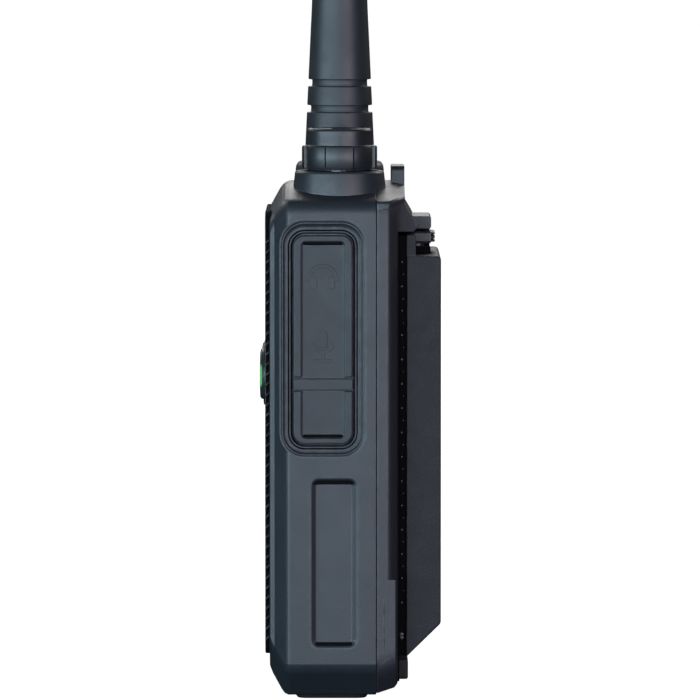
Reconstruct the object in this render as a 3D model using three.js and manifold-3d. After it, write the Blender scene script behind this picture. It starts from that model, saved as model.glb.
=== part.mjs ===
// A handheld two-way radio, built as the separate pieces that come apart on a bench.
// Units are millimetres. +Z is up, the keypad faces -Y, the battery is at +Y, the jack cover is at +X.
// The origin is the middle of the rubber foot's underside, on the volume knob and aerial's plane.

import * as THREE from 'three';
import { mergeVertices } from 'three/addons/utils/BufferGeometryUtils.js';
import Module from 'manifold-3d';

const wasm = await Module();
wasm.setup();

// ---- Driving dimensions -------------------------------------------------------------------------
const BODY_WIDTH = 58;            // across the two flat sides
const BODY_TOP = 111.6;           // middle of the crowned top
const SHELL_FRONT = -17.6;        // front plane of the shell, behind the trim panel
const SEAM = 5.4;                 // where the shell ends and the battery begins
const SHELL_BOTTOM = 0.8;
const WALL = 2.2;
const CROWN_RADIUS = 118.6;       // of the arched top, seen from the front
const GAP = 0.3;                  // between pieces that rest on each other
const SLIDE_GAP = 0.3;            // around keys and buttons that travel

const FOOT = { y0: -12.4, y1: 4.1, halfWidth: 21, height: 1.2, radius: 3 };

const PANEL = { front: -18.55, halfWidth: 23.4, z0: 9.4, topDrop: 5.9, radius: 4.5, thickness: 0.95 };
const DISPLAY = { halfWidth: 17, height: 22, topDrop: 9.2, lens: 0.7 };
const KEY = { width: 13, height: 5.4, gapX: 2.2, gapZ: 1.6, proud: 0.05, travel: 0.6, radius: 1.1 };
const KEYPAD_TOP_DROP = 53.3;     // from the body's top to the middle of the first row of keys
const NAV = { halfWidth: 20.6, height: 13.4, drop: 41.6, front: -19.45, keyWidth: 10.4 };
const GRILLE = { z0: 12.2, belowKeys: 5, slotHeight: 1.1, pitch: 2.3, halfWidth: 15.5 };
const MAT_THICKNESS = 1.0;
const BOARD = { halfWidth: 20.6, front: -12.6, thickness: 1.5, overSpeaker: 4.6 };

const STEM_X = 14;                // volume knob at +X, aerial at -X
const STEM_Y = -2.47;
const COLLAR = { radius: 9.68, foot: 10.0, rise: 2.7, bore: 5.3 };
const KNOB = { skirt: 7.75, pad: 8.3, top: 7.0, skirtHeight: 4.9, height: 8.8, play: 0.3 };
const SHAFT_RADIUS = 3.0;
const BUSHING_RADIUS = 3.8;       // of the potentiometer, inside the collar
const AERIAL = { base: 7.8, taper: 0.0465, length: 139.7, tipRadius: 3.7, bore: 1.5 };
const AERIAL_NUT = { outer: 4.5, inner: 3.5, depth: 3.9, sunk: 4.2 };

const POCKET = { y0: -12.85, y1: 0.8, z0: 55.4, z1: 101.3, radius: 2.9, depth: 2.4, floor: 1.7 };
const RIM = { margin: 1.35, depth: 0.55 };
const COVER = { depth: 0.3, thickness: 1.75, strapZ0: 67.6, strapZ1: 69.9, sunk: 0.45, border: 1.6 };
const JACK = { y: -6.05, phoneZ: 92.2, micZ: 76.9, phoneBore: 1.8, micBore: 1.3, nose: 3.2, plug: 1.0 };
const USB = { z: 61.6, halfWidth: 4.5, halfHeight: 1.6, wall: 0.35, depth: 7 };
const SIDE_GRIP = { y0: -8.5, y1: 1.2, z0: 12, z1: 48.3, depth: 0.9, radius: 1.2 };
const PTT = { z0: 71, proud: 0.8, thickness: 2.1, travel: 1.0, plunger: 1.5 };
const SIDE_KEY_HEIGHT = 6.9;

const CHASSIS = { front: 2.4, thickness: 2.6, z0: 3.6, side: 0.3 };
const CAP = { z0: 106.2, rear: 11.65, tongueHalf: 20, tongueZ: 101.2, tongueRear: 13.6 };
const LUG = { y0: 8.7, halfWidth: 7, rise: 3.4, slotHalf: 4, slotDrop: 0.4, slotHeight: 1.7 };
const GUARD = { y0: 12.6, y1: 17.46, z0: 101.3, z1: 104.2, halfWidth: 9.5 };

const FLANGE = { rear: 10.15, z0: 1.3, flush: 7.8, heelTop: 26.5, heelFlush: 9.5, turnIn: 3.2 };
const HUMP = { halfWidth: 22.5, rear: 19.46, z0: 9.2, top: 96.1, slopeTop: 16.6, neck: 11.65 };
const PACK_WALL = 1.7;
const CELL = { halfWidth: 9.9, thickness: 9.2, z0: 17, z1: 84 };
const LATCH = { halfWidth: 7.5, y0: 12.1, y1: 17.46, z0: 98.1, z1: 100.8, ridge: 0.9, travel: 1.3, stem: 1.8 };
const SPRING = { wire: 0.28, radius: 1.35, turns: 5, length: 5.0 };
const PACK_LUG = { rear: 12.5, z0: 2.6, z1: 6.9, halfWidth: 6 };
const SCREW = { head: 2.0, headHeight: 1.1, shank: 0.95, length: 6, inset: 7.2, z: [11, 49.6], post: 2.6 };
const CONTACT = { x: 8, z0: 14, z1: 21, halfWidth: 2.2 };

// ---- Derived places -----------------------------------------------------------------------------
const HALF = BODY_WIDTH / 2;
const COLLAR_TOP = BODY_TOP + COLLAR.rise;
const COLLAR_FOOT = BODY_TOP - WALL - 1;
const AERIAL_TIP = COLLAR_TOP + AERIAL.length;
const POST_TOP = CHASSIS.front - 0.8;
const PANEL_BACK = PANEL.front + PANEL.thickness;
const PANEL_TOP = BODY_TOP - PANEL.topDrop;
const DISPLAY_TOP = BODY_TOP - DISPLAY.topDrop;
const DISPLAY_FOOT = DISPLAY_TOP - DISPLAY.height;
const KEY_PITCH_X = KEY.width + KEY.gapX;
const KEY_PITCH_Z = KEY.height + KEY.gapZ;
const KEY_TOP_ROW = BODY_TOP - KEYPAD_TOP_DROP;
const NAV_Z = BODY_TOP - NAV.drop;
const INNER_FRONT = SHELL_FRONT + WALL;
const MAT_FRONT = INNER_FRONT + KEY.travel;
const KEY_BACK = MAT_FRONT - KEY.travel - 0.2;
const BOARD_TOP = BODY_TOP - 12;
const POCKET_FLOOR = HALF - POCKET.depth;
const COVER_FACE = HALF - COVER.depth;
const PACK_FRONT = SEAM + GAP;
const FLANGE_TOP = CAP.z0 - GAP;

const COLOURS = {
  body: { color: 0x3c434c, roughness: 0.5, metalness: 0 },
  trim: { color: 0x24272c, roughness: 0.42, metalness: 0 },
  pack: { color: 0x2b2d31, roughness: 0.55, metalness: 0 },
  rubber: { color: 0x2d343c, roughness: 0.75, metalness: 0 },
  glass: { color: 0x10161c, roughness: 0.08, metalness: 0 },
  key: { color: 0x33373d, roughness: 0.6, metalness: 0 },
  green: { color: 0x3fae49, roughness: 0.45, metalness: 0 },
  board: { color: 0x1f5a3a, roughness: 0.5, metalness: 0 },
  metal: { color: 0xb9bcc0, roughness: 0.35, metalness: 1 },
  brass: { color: 0xc9a24a, roughness: 0.3, metalness: 1 },
  cell: { color: 0x5b7fa8, roughness: 0.5, metalness: 0 },
  black: { color: 0x151618, roughness: 0.7, metalness: 0 },
};

// ---- Outlines -----------------------------------------------------------------------------------
const point = (u, v) => new THREE.Vector2(u, v);

function arc(u, v, radius, from, to, steps) {
  return Array.from({ length: steps + 1 }, (_, i) => {
    const angle = THREE.MathUtils.degToRad(from + (to - from) * i / steps);
    return point(u + radius * Math.cos(angle), v + radius * Math.sin(angle));
  });
}

function bend(from, control, to, steps = 4) {
  return new THREE.QuadraticBezierCurve(from, control, to).getPoints(steps);
}

const disc = (u, v, radius, sides = 24) =>
  new THREE.Shape(arc(u, v, radius, 0, 360 * (sides - 1) / sides, sides - 1));

function roundRect(u0, u1, v0, v1, radius, steps = 3) {
  return new THREE.Shape([
    ...arc(u1 - radius, v0 + radius, radius, -90, 0, steps),
    ...arc(u1 - radius, v1 - radius, radius, 0, 90, steps),
    ...arc(u0 + radius, v1 - radius, radius, 90, 180, steps),
    ...arc(u0 + radius, v0 + radius, radius, 180, 270, steps),
  ]);
}

// The points of a right-hand half, and the same points mirrored; those on the middle line count once.
const mirrored = (half) =>
  [...half, ...half.filter((p) => p.x > 1e-6).map((p) => point(-p.x, p.y)).reverse()];

// ---- Solids -------------------------------------------------------------------------------------
function solid(geometry) {
  const bare = geometry.clone();
  bare.deleteAttribute('normal');
  bare.deleteAttribute('uv');
  const welded = mergeVertices(bare, 1e-4);
  const vertices = welded.attributes.position.array;
  const index = welded.index.array;
  const triangles = [];
  for (let i = 0; i < index.length; i += 3) {
    const [a, b, c] = [index[i], index[i + 1], index[i + 2]];
    if (a !== b && b !== c && c !== a) triangles.push(a, b, c);
  }
  if (enclosedVolume(vertices, triangles) < 0) triangles.reverse();
  return new wasm.Manifold(new wasm.Mesh({
    numProp: 3, vertProperties: new Float32Array(vertices), triVerts: new Uint32Array(triangles),
  }));
}

function enclosedVolume(vertices, triangles) {
  const corner = (i) => new THREE.Vector3().fromArray(vertices, 3 * triangles[i]);
  let total = 0;
  for (let i = 0; i < triangles.length; i += 3) {
    total += corner(i).dot(corner(i + 1).cross(corner(i + 2))) / 6;
  }
  return total;
}

const extruded = (shape, depth) =>
  new THREE.ExtrudeGeometry(shape, { depth, bevelEnabled: false, steps: 1 });

function alongX(shape, x0, x1) {
  const turn = new THREE.Matrix4().makeBasis(
    new THREE.Vector3(0, 1, 0), new THREE.Vector3(0, 0, 1), new THREE.Vector3(1, 0, 0));
  return solid(extruded(shape, x1 - x0).applyMatrix4(turn).translate(x0, 0, 0));
}

const alongY = (shape, y0, y1) =>
  solid(extruded(shape, y1 - y0).rotateX(Math.PI / 2).translate(0, y1, 0));

const alongZ = (shape, z0, z1) => solid(extruded(shape, z1 - z0).translate(0, 0, z0));

const box = (x0, x1, y0, y1, z0, z1) =>
  solid(new THREE.BoxGeometry(x1 - x0, y1 - y0, z1 - z0)
    .translate((x0 + x1) / 2, (y0 + y1) / 2, (z0 + z1) / 2));

function turned(profile, x, y, sides = 28) {
  const points = profile.map(([radius, z]) => point(radius, z));
  return solid(new THREE.LatheGeometry(points, sides).rotateX(Math.PI / 2).translate(x, y, 0));
}

const join = (...solids) => solids.reduce((whole, next) => whole.add(next));
const cut = (whole, ...tools) => tools.reduce((rest, tool) => rest.subtract(tool), whole);

const radio = new THREE.Group();
radio.name = 'portable_radio';

function piece(name, shape, colour) {
  const { vertProperties, triVerts } = shape.getMesh();
  const geometry = new THREE.BufferGeometry();
  geometry.setAttribute('position', new THREE.BufferAttribute(new Float32Array(vertProperties), 3));
  geometry.setIndex(Array.from(triVerts));
  geometry.computeVertexNormals();
  const mesh = new THREE.Mesh(geometry, new THREE.MeshStandardMaterial(COLOURS[colour]));
  mesh.name = name;
  radio.add(mesh);
}

// ---- The housing's three outlines ---------------------------------------------------------------
// The shell, its cavity, the rear cap and the battery's flange are all cut from the same outlines,
// each moved inwards by its own inset.

function sideProfile(inset, rear) {
  const front = SHELL_FRONT + inset;
  const low = SHELL_BOTTOM + inset;
  const high = BODY_TOP - inset;
  return new THREE.Shape([
    point(rear, low),
    point(rear, high),
    ...bend(point(front + 4.1, high), point(front + 0.9, high - 0.9), point(front, high - 5.3), 5),
    ...bend(point(front, low + 6.0), point(front + 1.4, low + 2.6), point(front + 3.7, low), 4),
  ]);
}

function planSection(inset, rear) {
  const side = HALF - inset;
  const front = SHELL_FRONT + inset;
  return new THREE.Shape(mirrored([
    point(side, rear),
    ...bend(point(side, front + 4.3), point(side - 0.5, front + 1.1), point(side - 4.4, front), 5),
  ]));
}

function frontOutline(inset) {
  const side = HALF - inset;
  const low = SHELL_BOTTOM + inset;
  const radius = CROWN_RADIUS - inset;
  const centre = BODY_TOP - CROWN_RADIUS;
  const reach = THREE.MathUtils.radToDeg(Math.asin((side - 2.2) / radius));
  const crown = arc(0, centre, radius, 90, 90 - reach, 6);
  const shoulder = crown[crown.length - 1];
  return new THREE.Shape(mirrored([
    point(0, low),
    ...bend(point(side - 7.5, low), point(side - 0.8, low + 1.2), point(side, low + 8.6), 5),
    ...bend(point(side, shoulder.y - 2.3), point(side, shoulder.y - 0.5), shoulder, 3),
    ...crown.slice(0, -1).reverse(),
  ]));
}

// A plan outline that is full width at the seam and turns inwards from `flush` to its rear face.
const roundedRear = (flush, rear, turnIn) => new THREE.Shape(mirrored([
  point(HALF, PACK_FRONT),
  ...bend(point(HALF, flush), point(HALF - 0.5, rear - 0.1), point(HALF - turnIn, rear), 4),
]));

const housing = (inset, rear) =>
  alongX(sideProfile(inset, rear), -HALF - 1, HALF + 1)
    .intersect(alongZ(planSection(inset, rear), -1, BODY_TOP + 1))
    .intersect(alongY(frontOutline(inset), SHELL_FRONT - 1, rear + 1));

// ---- Front half ---------------------------------------------------------------------------------
const pocketShape = (grow) =>
  roundRect(POCKET.y0 - grow, POCKET.y1 + grow, POCKET.z0 - grow, POCKET.z1 + grow, POCKET.radius + grow);

function sidePocket(side) {
  const outwards = (a, b) => [Math.min(side * a, side * b), Math.max(side * a, side * b)];
  const backing = alongX(pocketShape(1.0), ...outwards(POCKET_FLOOR - POCKET.floor, HALF - 1));
  const hollow = alongX(pocketShape(0), ...outwards(POCKET_FLOOR, HALF + 2));
  const rim = alongX(pocketShape(RIM.margin), ...outwards(HALF - RIM.depth, HALF + 2));
  const grip = alongX(
    roundRect(SIDE_GRIP.y0, SIDE_GRIP.y1, SIDE_GRIP.z0, SIDE_GRIP.z1, SIDE_GRIP.radius),
    ...outwards(HALF - SIDE_GRIP.depth, HALF + 2));
  return { backing, cuts: [hollow, rim, grip] };
}

const keyCentres = () => {
  const names = [['1', '2', '3'], ['4', '5', '6'], ['7', '8', '9'], ['star', '0', 'hash']];
  return names.flatMap((row, r) => row.map((name, c) => ({
    name, x: (c - 1) * KEY_PITCH_X, z: KEY_TOP_ROW - r * KEY_PITCH_Z,
  })));
};

const keyShape = ({ x, z }, grow) => roundRect(
  x - KEY.width / 2 - grow, x + KEY.width / 2 + grow,
  z - KEY.height / 2 - grow, z + KEY.height / 2 + grow, KEY.radius + grow);

const navShape = (grow) => roundRect(
  -NAV.halfWidth - grow, NAV.halfWidth + grow,
  NAV_Z - NAV.height / 2 - grow, NAV_Z + NAV.height / 2 + grow, NAV.height / 2 + grow - 0.1, 6);

const displayShape = (grow) => roundRect(
  -DISPLAY.halfWidth - grow, DISPLAY.halfWidth + grow,
  DISPLAY_FOOT - grow, DISPLAY_TOP + grow, 1.6 + grow);

const keypadFoot = KEY_TOP_ROW - 3 * KEY_PITCH_Z - KEY.height / 2;
const keypadHalf = KEY_PITCH_X + KEY.width / 2;
// The speaker grille fills the height that the keypad leaves, in whole slots.
const grilleSpaces = Math.floor((keypadFoot - GRILLE.belowKeys - GRILLE.z0 - GRILLE.slotHeight) / GRILLE.pitch);
const grilleTop = GRILLE.z0 + grilleSpaces * GRILLE.pitch + GRILLE.slotHeight;
const micPlace = { x: GRILLE.halfWidth + 4, z: (GRILLE.z0 + grilleTop) / 2 };
const boardFoot = grilleTop + BOARD.overSpeaker;
const screwPlaces = [-1, 1].flatMap((side) => SCREW.z.map((z) => ({ x: side * (HALF - SCREW.inset), z })));

function frontShell() {
  const left = sidePocket(-1);
  const right = sidePocket(1);
  const cavity = housing(WALL, SEAM + 1);
  let shell = cut(housing(0, SEAM), cavity);
  const inside = housing(WALL - 0.4, SEAM);
  shell = join(shell, left.backing.intersect(inside), right.backing.intersect(inside));
  for (const { x, z } of screwPlaces) {
    const wall = Math.sign(x) * (HALF - 1);
    const post = alongY(disc(x, z, SCREW.post, 16), POST_TOP - 7, POST_TOP);
    const rib = box(Math.min(x, wall), Math.max(x, wall), POST_TOP - 7, POST_TOP, z - 1, z + 1);
    shell = join(shell, post, rib.intersect(inside));
  }
  for (const x of [-STEM_X, STEM_X]) {
    shell = join(shell, turned([
      [0, COLLAR_FOOT], [COLLAR.foot, COLLAR_FOOT], [COLLAR.foot, BODY_TOP - 0.6],
      [COLLAR.radius, COLLAR_TOP - 0.5], [COLLAR.radius - 0.5, COLLAR_TOP], [0, COLLAR_TOP],
    ], x, STEM_Y));
  }
  const bores = [-STEM_X, STEM_X].map((x) =>
    alongZ(disc(x, STEM_Y, COLLAR.bore), BODY_TOP - 10, COLLAR_TOP + 1));
  const navHole = alongY(navShape(-1.2), SHELL_FRONT - 1, INNER_FRONT + 1);
  const keyHole = alongY(roundRect(-keypadHalf - 0.6, keypadHalf + 0.6, keypadFoot - 0.6,
    KEY_TOP_ROW + KEY.height / 2 + 0.6, 1.5), SHELL_FRONT - 1, INNER_FRONT + 1);
  const displayHole = alongY(displayShape(0.6), SHELL_FRONT - 1, INNER_FRONT + 1);
  const speakerHole = alongY(roundRect(-GRILLE.halfWidth, GRILLE.halfWidth, GRILLE.z0, grilleTop, 4),
    SHELL_FRONT - 1, INNER_FRONT + 1);
  const micHole = alongY(disc(micPlace.x, micPlace.z, 0.6, 10), SHELL_FRONT - 1, INNER_FRONT + 1);
  const ledHole = alongZ(disc(0, STEM_Y, 1.5, 16), BODY_TOP - 10, BODY_TOP + 2);
  const footBed = alongZ(roundRect(-FOOT.halfWidth - GAP, FOOT.halfWidth + GAP,
    FOOT.y0 - GAP, FOOT.y1 + GAP, FOOT.radius), -1, FOOT.height + GAP / 2);
  const pilots = screwPlaces.map(({ x, z }) =>
    alongY(disc(x, z, SCREW.shank + GAP, 12), CHASSIS.front - 6.2, CHASSIS.front));
  const jackHoles = [JACK.phoneZ, JACK.micZ].map((z) =>
    alongX(disc(JACK.y, z, JACK.nose + GAP), POCKET_FLOOR - 4, POCKET_FLOOR + 1));
  const usbHole = alongX(roundRect(JACK.y - USB.halfWidth - GAP, JACK.y + USB.halfWidth + GAP,
    USB.z - USB.halfHeight - GAP, USB.z + USB.halfHeight + GAP, USB.halfHeight),
  POCKET_FLOOR - 4, POCKET_FLOOR + 1);
  const anchorHole = box(POCKET_FLOOR - 4, POCKET_FLOOR + 1, JACK.y - 2.4, JACK.y + 2.4,
    COVER.strapZ0 + 0.2, COVER.strapZ1 - 0.2);
  const plungerHoles = sideButtons().map(({ z0, z1 }) =>
    alongX(disc(JACK.y, (z0 + z1) / 2, PTT.plunger + GAP, 16), -POCKET_FLOOR - 1, -POCKET_FLOOR + 4));
  return cut(shell, ...bores, ...left.cuts, ...right.cuts, navHole, keyHole, displayHole, speakerHole,
    micHole, ledHole, footBed, ...pilots, ...jackHoles, usbHole, anchorHole, ...plungerHoles);
}

function frontPanel() {
  const plate = alongY(roundRect(-PANEL.halfWidth, PANEL.halfWidth, PANEL.z0, PANEL_TOP, PANEL.radius, 5),
    PANEL.front, PANEL_BACK - 0.05);
  const slots = Array.from({ length: grilleSpaces + 1 }, (_, i) => {
    const z = GRILLE.z0 + i * GRILLE.pitch;
    const half = GRILLE.halfWidth - 0.8 - 3 * Math.abs(2 * i / grilleSpaces - 1) ** 3;
    return alongY(roundRect(-half, half, z, z + GRILLE.slotHeight, GRILLE.slotHeight / 2, 2),
      PANEL.front - 1, PANEL_BACK + 1);
  });
  const keyHoles = keyCentres().map((key) => alongY(keyShape(key, SLIDE_GAP), PANEL.front - 1, PANEL_BACK + 1));
  return cut(plate,
    alongY(displayShape(GAP), PANEL.front - 1, PANEL_BACK + 1),
    alongY(navShape(GAP), PANEL.front - 1, PANEL_BACK + 1),
    alongY(disc(micPlace.x, micPlace.z, 0.6, 10), PANEL.front - 1, PANEL_BACK + 1),
    ...keyHoles, ...slots);
}

function displayPieces() {
  piece('display_lens', alongY(displayShape(0), PANEL.front + 0.1, PANEL.front + 0.1 + DISPLAY.lens), 'glass');
  piece('display_module', alongY(displayShape(0), SHELL_FRONT + 0.2, BOARD.front - GAP), 'metal');
}

const navKeys = () => {
  const half = NAV.height / 2 - 1.3;
  const outer = NAV.halfWidth - 1.3;
  const inner = outer - NAV.keyWidth;
  const arrow = inner - 0.9;
  return [
    { name: 'key_exit', x0: -outer, x1: -inner, z0: NAV_Z - half, z1: NAV_Z + half, colour: 'key', end: -1 },
    { name: 'key_confirm', x0: inner, x1: outer, z0: NAV_Z - half, z1: NAV_Z + half, colour: 'green', end: 1 },
    { name: 'key_up', x0: -arrow, x1: arrow, z0: NAV_Z + 0.45, z1: NAV_Z + half, colour: 'key', end: 0 },
    { name: 'key_down', x0: -arrow, x1: arrow, z0: NAV_Z - half, z1: NAV_Z - 0.45, colour: 'key', end: 0 },
  ];
};

function navKeyShape({ x0, x1, z0, z1, end }, grow) {
  if (end === 0) return roundRect(x0 - grow, x1 + grow, z0 - grow, z1 + grow, 1.2 + grow);
  const radius = (z1 - z0) / 2 + grow;
  const middle = (z0 + z1) / 2;
  const far = end > 0 ? x1 + grow - radius : x0 - grow + radius;
  const near = end > 0 ? x0 - grow : x1 + grow;
  return new THREE.Shape([
    point(near, middle - end * radius),
    ...arc(far, middle, radius, end > 0 ? -90 : 90, end > 0 ? 90 : 270, 8),
    point(near, middle + end * radius),
  ]);
}

function keypadPieces() {
  const shapes = navKeys();
  const bezel = cut(
    alongY(navShape(0), NAV.front, PANEL_BACK - 0.05),
    ...shapes.map((key) => alongY(navKeyShape(key, SLIDE_GAP), NAV.front - 1, PANEL_BACK + 1)));
  piece('nav_bezel', bezel, 'trim');
  for (const key of shapes) {
    const front = NAV.front - (key.name === 'key_confirm' ? 0.3 : 0.1);
    piece(key.name, alongY(navKeyShape(key, 0), front, KEY_BACK), key.colour);
  }
  for (const key of keyCentres()) {
    piece(`key_${key.name}`, alongY(keyShape(key, 0), PANEL.front - KEY.proud, KEY_BACK), 'key');
  }
  piece('keypad_mat', box(-keypadHalf - 1.2, keypadHalf + 1.2, MAT_FRONT, MAT_FRONT + MAT_THICKNESS,
    keypadFoot - 1.2, NAV_Z + NAV.height / 2), 'rubber');
}

// ---- Inside -------------------------------------------------------------------------------------
function electronics() {
  piece('circuit_board', box(-BOARD.halfWidth, BOARD.halfWidth, BOARD.front, BOARD.front + BOARD.thickness,
    boardFoot, BOARD_TOP), 'board');
  const canFront = BOARD.front + BOARD.thickness + 0.1;
  const canFoot = boardFoot + 18;
  const can = cut(box(-15, 15, canFront, canFront + 3.2, canFoot, BOARD_TOP - 6),
    box(-14.5, 14.5, canFront - 1, canFront + 2.8, canFoot + 0.5, BOARD_TOP - 6.5));
  piece('rf_shield', can, 'metal');
  const coneFront = INNER_FRONT + GAP;
  const cone = alongY(roundRect(-GRILLE.halfWidth, GRILLE.halfWidth, GRILLE.z0 - 0.5, grilleTop + 0.5, 5),
    coneFront, coneFront + 2.4);
  const magnet = alongY(disc(0, (GRILLE.z0 + grilleTop) / 2, 7.2), coneFront + 2.2, coneFront + 6.5);
  piece('speaker', join(cone, magnet), 'black');
  const capsule = alongY(disc(micPlace.x, micPlace.z, 2.6, 18), coneFront, coneFront + 2.2);
  piece('microphone_capsule', capsule, 'metal');
  piece('status_led_lens', turned([
    [0, BODY_TOP - 4.2], [1.2, BODY_TOP - 4.2], [1.2, BODY_TOP + 0.1], [0.8, BODY_TOP + 0.4],
    [0, BODY_TOP + 0.4],
  ], 0, STEM_Y, 16), 'glass');
}

function volumeControl() {
  const bodyTop = BODY_TOP - WALL - 2;
  const body = box(STEM_X - 5.2, STEM_X + 5.2, STEM_Y - 5, STEM_Y + 3.9, bodyTop - 6, bodyTop);
  const bush = turned([
    [0, bodyTop - 1], [BUSHING_RADIUS, bodyTop - 1], [BUSHING_RADIUS, COLLAR_TOP - 0.6],
    [SHAFT_RADIUS, COLLAR_TOP - 0.6], [SHAFT_RADIUS, COLLAR_TOP + 6.6], [0, COLLAR_TOP + 6.6],
  ], STEM_X, STEM_Y);
  piece('volume_potentiometer', join(body, bush), 'metal');
  const foot = COLLAR_TOP + 0.4;
  const core = turned([
    [0, foot], [KNOB.skirt, foot], [KNOB.skirt, foot + KNOB.skirtHeight - 0.1], [KNOB.top + 0.1, foot + 5.6],
    [KNOB.top, foot + KNOB.height - 0.4], [KNOB.top - 0.4, foot + KNOB.height], [0, foot + KNOB.height],
  ], STEM_X, STEM_Y, 40);
  const pads = [0, 90, 180, 270].map((turn) => {
    const rim = arc(STEM_X, STEM_Y, KNOB.pad, turn - 22.5, turn + 22.5, 6);
    return alongZ(new THREE.Shape([point(STEM_X, STEM_Y), ...rim]), foot, foot + KNOB.skirtHeight - 0.2);
  });
  const bore = alongZ(disc(STEM_X, STEM_Y, SHAFT_RADIUS + KNOB.play), foot - 1, foot + KNOB.height - 1.6);
  piece('volume_knob', cut(join(core, ...pads), bore), 'trim');
}

const aerialRadius = (z) => AERIAL.base - AERIAL.taper * (z - COLLAR_TOP);

function aerialPieces() {
  const foot = COLLAR_TOP + 0.4;
  const shank = COLLAR_TOP + 62;
  const nutTop = foot + AERIAL_NUT.depth;
  const ring = (z, depth) => [
    [aerialRadius(z), z], [aerialRadius(z) - depth, z + 0.15],
    [aerialRadius(z) - depth, z + 1.45], [aerialRadius(z + 1.6), z + 1.6],
  ];
  const tip = arc(0, AERIAL_TIP - AERIAL.tipRadius, AERIAL.tipRadius, 0, 90, 4)
    .map((p) => [Math.max(p.x, 0), p.y]);
  tip[tip.length - 1][0] = 0;
  const sleeve = turned([
    [0, foot], [aerialRadius(foot) - 0.4, foot], [aerialRadius(foot), foot + 0.5],
    ...ring(COLLAR_TOP + 11.8, 0.95), ...ring(COLLAR_TOP + 17.5, 0.95),
    [aerialRadius(COLLAR_TOP + 34), COLLAR_TOP + 34], [4.9, shank], ...tip,
  ], -STEM_X, STEM_Y, 32);
  const nutSeat = alongZ(disc(-STEM_X, STEM_Y, AERIAL_NUT.outer + GAP), foot - 1, nutTop + GAP);
  const wireSeat = alongZ(disc(-STEM_X, STEM_Y, AERIAL.bore + GAP, 12), foot, AERIAL_TIP - 6);
  piece('antenna_sleeve', cut(sleeve, nutSeat, wireSeat), 'rubber');
  const wire = alongZ(disc(-STEM_X, STEM_Y, AERIAL.bore, 10), nutTop + 2 * GAP, AERIAL_TIP - 7);
  piece('antenna_radiator', wire, 'metal');
  const nutFoot = COLLAR_TOP - AERIAL_NUT.sunk;
  const nut = cut(alongZ(disc(-STEM_X, STEM_Y, AERIAL_NUT.outer), nutFoot, nutTop),
    alongZ(disc(-STEM_X, STEM_Y, AERIAL_NUT.inner), nutFoot - 1, nutTop - 1.2));
  piece('antenna_connector', nut, 'brass');
  const socketTop = nutTop - 1.6;
  const flangeTop = nutFoot - 1.2;
  piece('antenna_socket', cut(turned([
    [0, flangeTop - 5], [AERIAL_NUT.inner - 0.2, flangeTop - 5], [AERIAL_NUT.inner - 0.2, flangeTop - 0.8],
    [COLLAR.bore - 1.2, flangeTop - 0.8], [COLLAR.bore - 1.2, flangeTop], [AERIAL_NUT.inner - 0.2, flangeTop],
    [AERIAL_NUT.inner - 0.2, socketTop], [0, socketTop],
  ], -STEM_X, STEM_Y), alongZ(disc(-STEM_X, STEM_Y, 0.6, 8), socketTop - 3, socketTop + 1)), 'brass');
}

// ---- Jack side ----------------------------------------------------------------------------------
function coverPieces() {
  const inner = COVER_FACE - COVER.thickness;
  const y0 = POCKET.y0 + 0.5;
  const y1 = POCKET.y1 - 0.5;
  const whole = alongX(
    roundRect(y0, y1, POCKET.z0 + 0.5, POCKET.z1 - 0.5, POCKET.radius - 0.5), inner, COVER_FACE);
  const sunk = (z0, z1) => alongX(roundRect(y0 + COVER.border, y1 - COVER.border, z0, z1, 0.8),
    COVER_FACE - COVER.sunk, COVER_FACE + 1);
  const plug = (z, radius) => alongX(disc(JACK.y, z, radius, 16), inner - JACK.plug, inner + 0.2);
  const upper = cut(whole, box(inner - 1, HALF + 1, y0 - 1, y1 + 1, 0, COVER.strapZ1 + GAP),
    sunk(COVER.strapZ1 + GAP + 0.5, POCKET.z1 - 0.5 - COVER.border));
  const lower = cut(whole, box(inner - 1, HALF + 1, y0 - 1, y1 + 1, COVER.strapZ0 - GAP, BODY_TOP),
    sunk(POCKET.z0 + 0.5 + COVER.border, COVER.strapZ0 - GAP - 0.5));
  piece('jack_flap_upper',
    join(upper, plug(JACK.phoneZ, JACK.phoneBore - 0.6), plug(JACK.micZ, JACK.micBore - 0.5)), 'rubber');
  piece('jack_flap_lower', lower, 'rubber');
  const strap = box(inner, COVER_FACE, y0, y1, COVER.strapZ0, COVER.strapZ1);
  const anchor = box(POCKET_FLOOR - POCKET.floor - 0.5, inner + 0.2, JACK.y - 2, JACK.y + 2,
    COVER.strapZ0 + 0.5, COVER.strapZ1 - 0.5);
  piece('cover_strap', join(strap, anchor), 'rubber');
  const back = POCKET_FLOOR - POCKET.floor - GAP;
  const noses = [JACK.phoneZ, JACK.micZ].map((z) =>
    alongX(disc(JACK.y, z, JACK.nose), back - 0.2, POCKET_FLOOR - GAP));
  const bores = [[JACK.phoneZ, JACK.phoneBore], [JACK.micZ, JACK.micBore]].map(([z, radius]) =>
    alongX(disc(JACK.y, z, radius, 16), back - 3, POCKET_FLOOR + 1));
  const block = box(back - 4, back, JACK.y - 4.2, JACK.y + 4.2, JACK.micZ - 5, JACK.phoneZ + 5);
  piece('jack_block', cut(join(block, ...noses), ...bores), 'black');
  const usbShape = (grow) => roundRect(JACK.y - USB.halfWidth - grow, JACK.y + USB.halfWidth + grow,
    USB.z - USB.halfHeight - grow, USB.z + USB.halfHeight + grow, USB.halfHeight + grow - 0.1);
  piece('usb_port', cut(alongX(usbShape(0), POCKET_FLOOR - USB.depth, POCKET_FLOOR - GAP),
    alongX(usbShape(-USB.wall), POCKET_FLOOR - USB.depth + 1, POCKET_FLOOR + 1)), 'metal');
}

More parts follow.
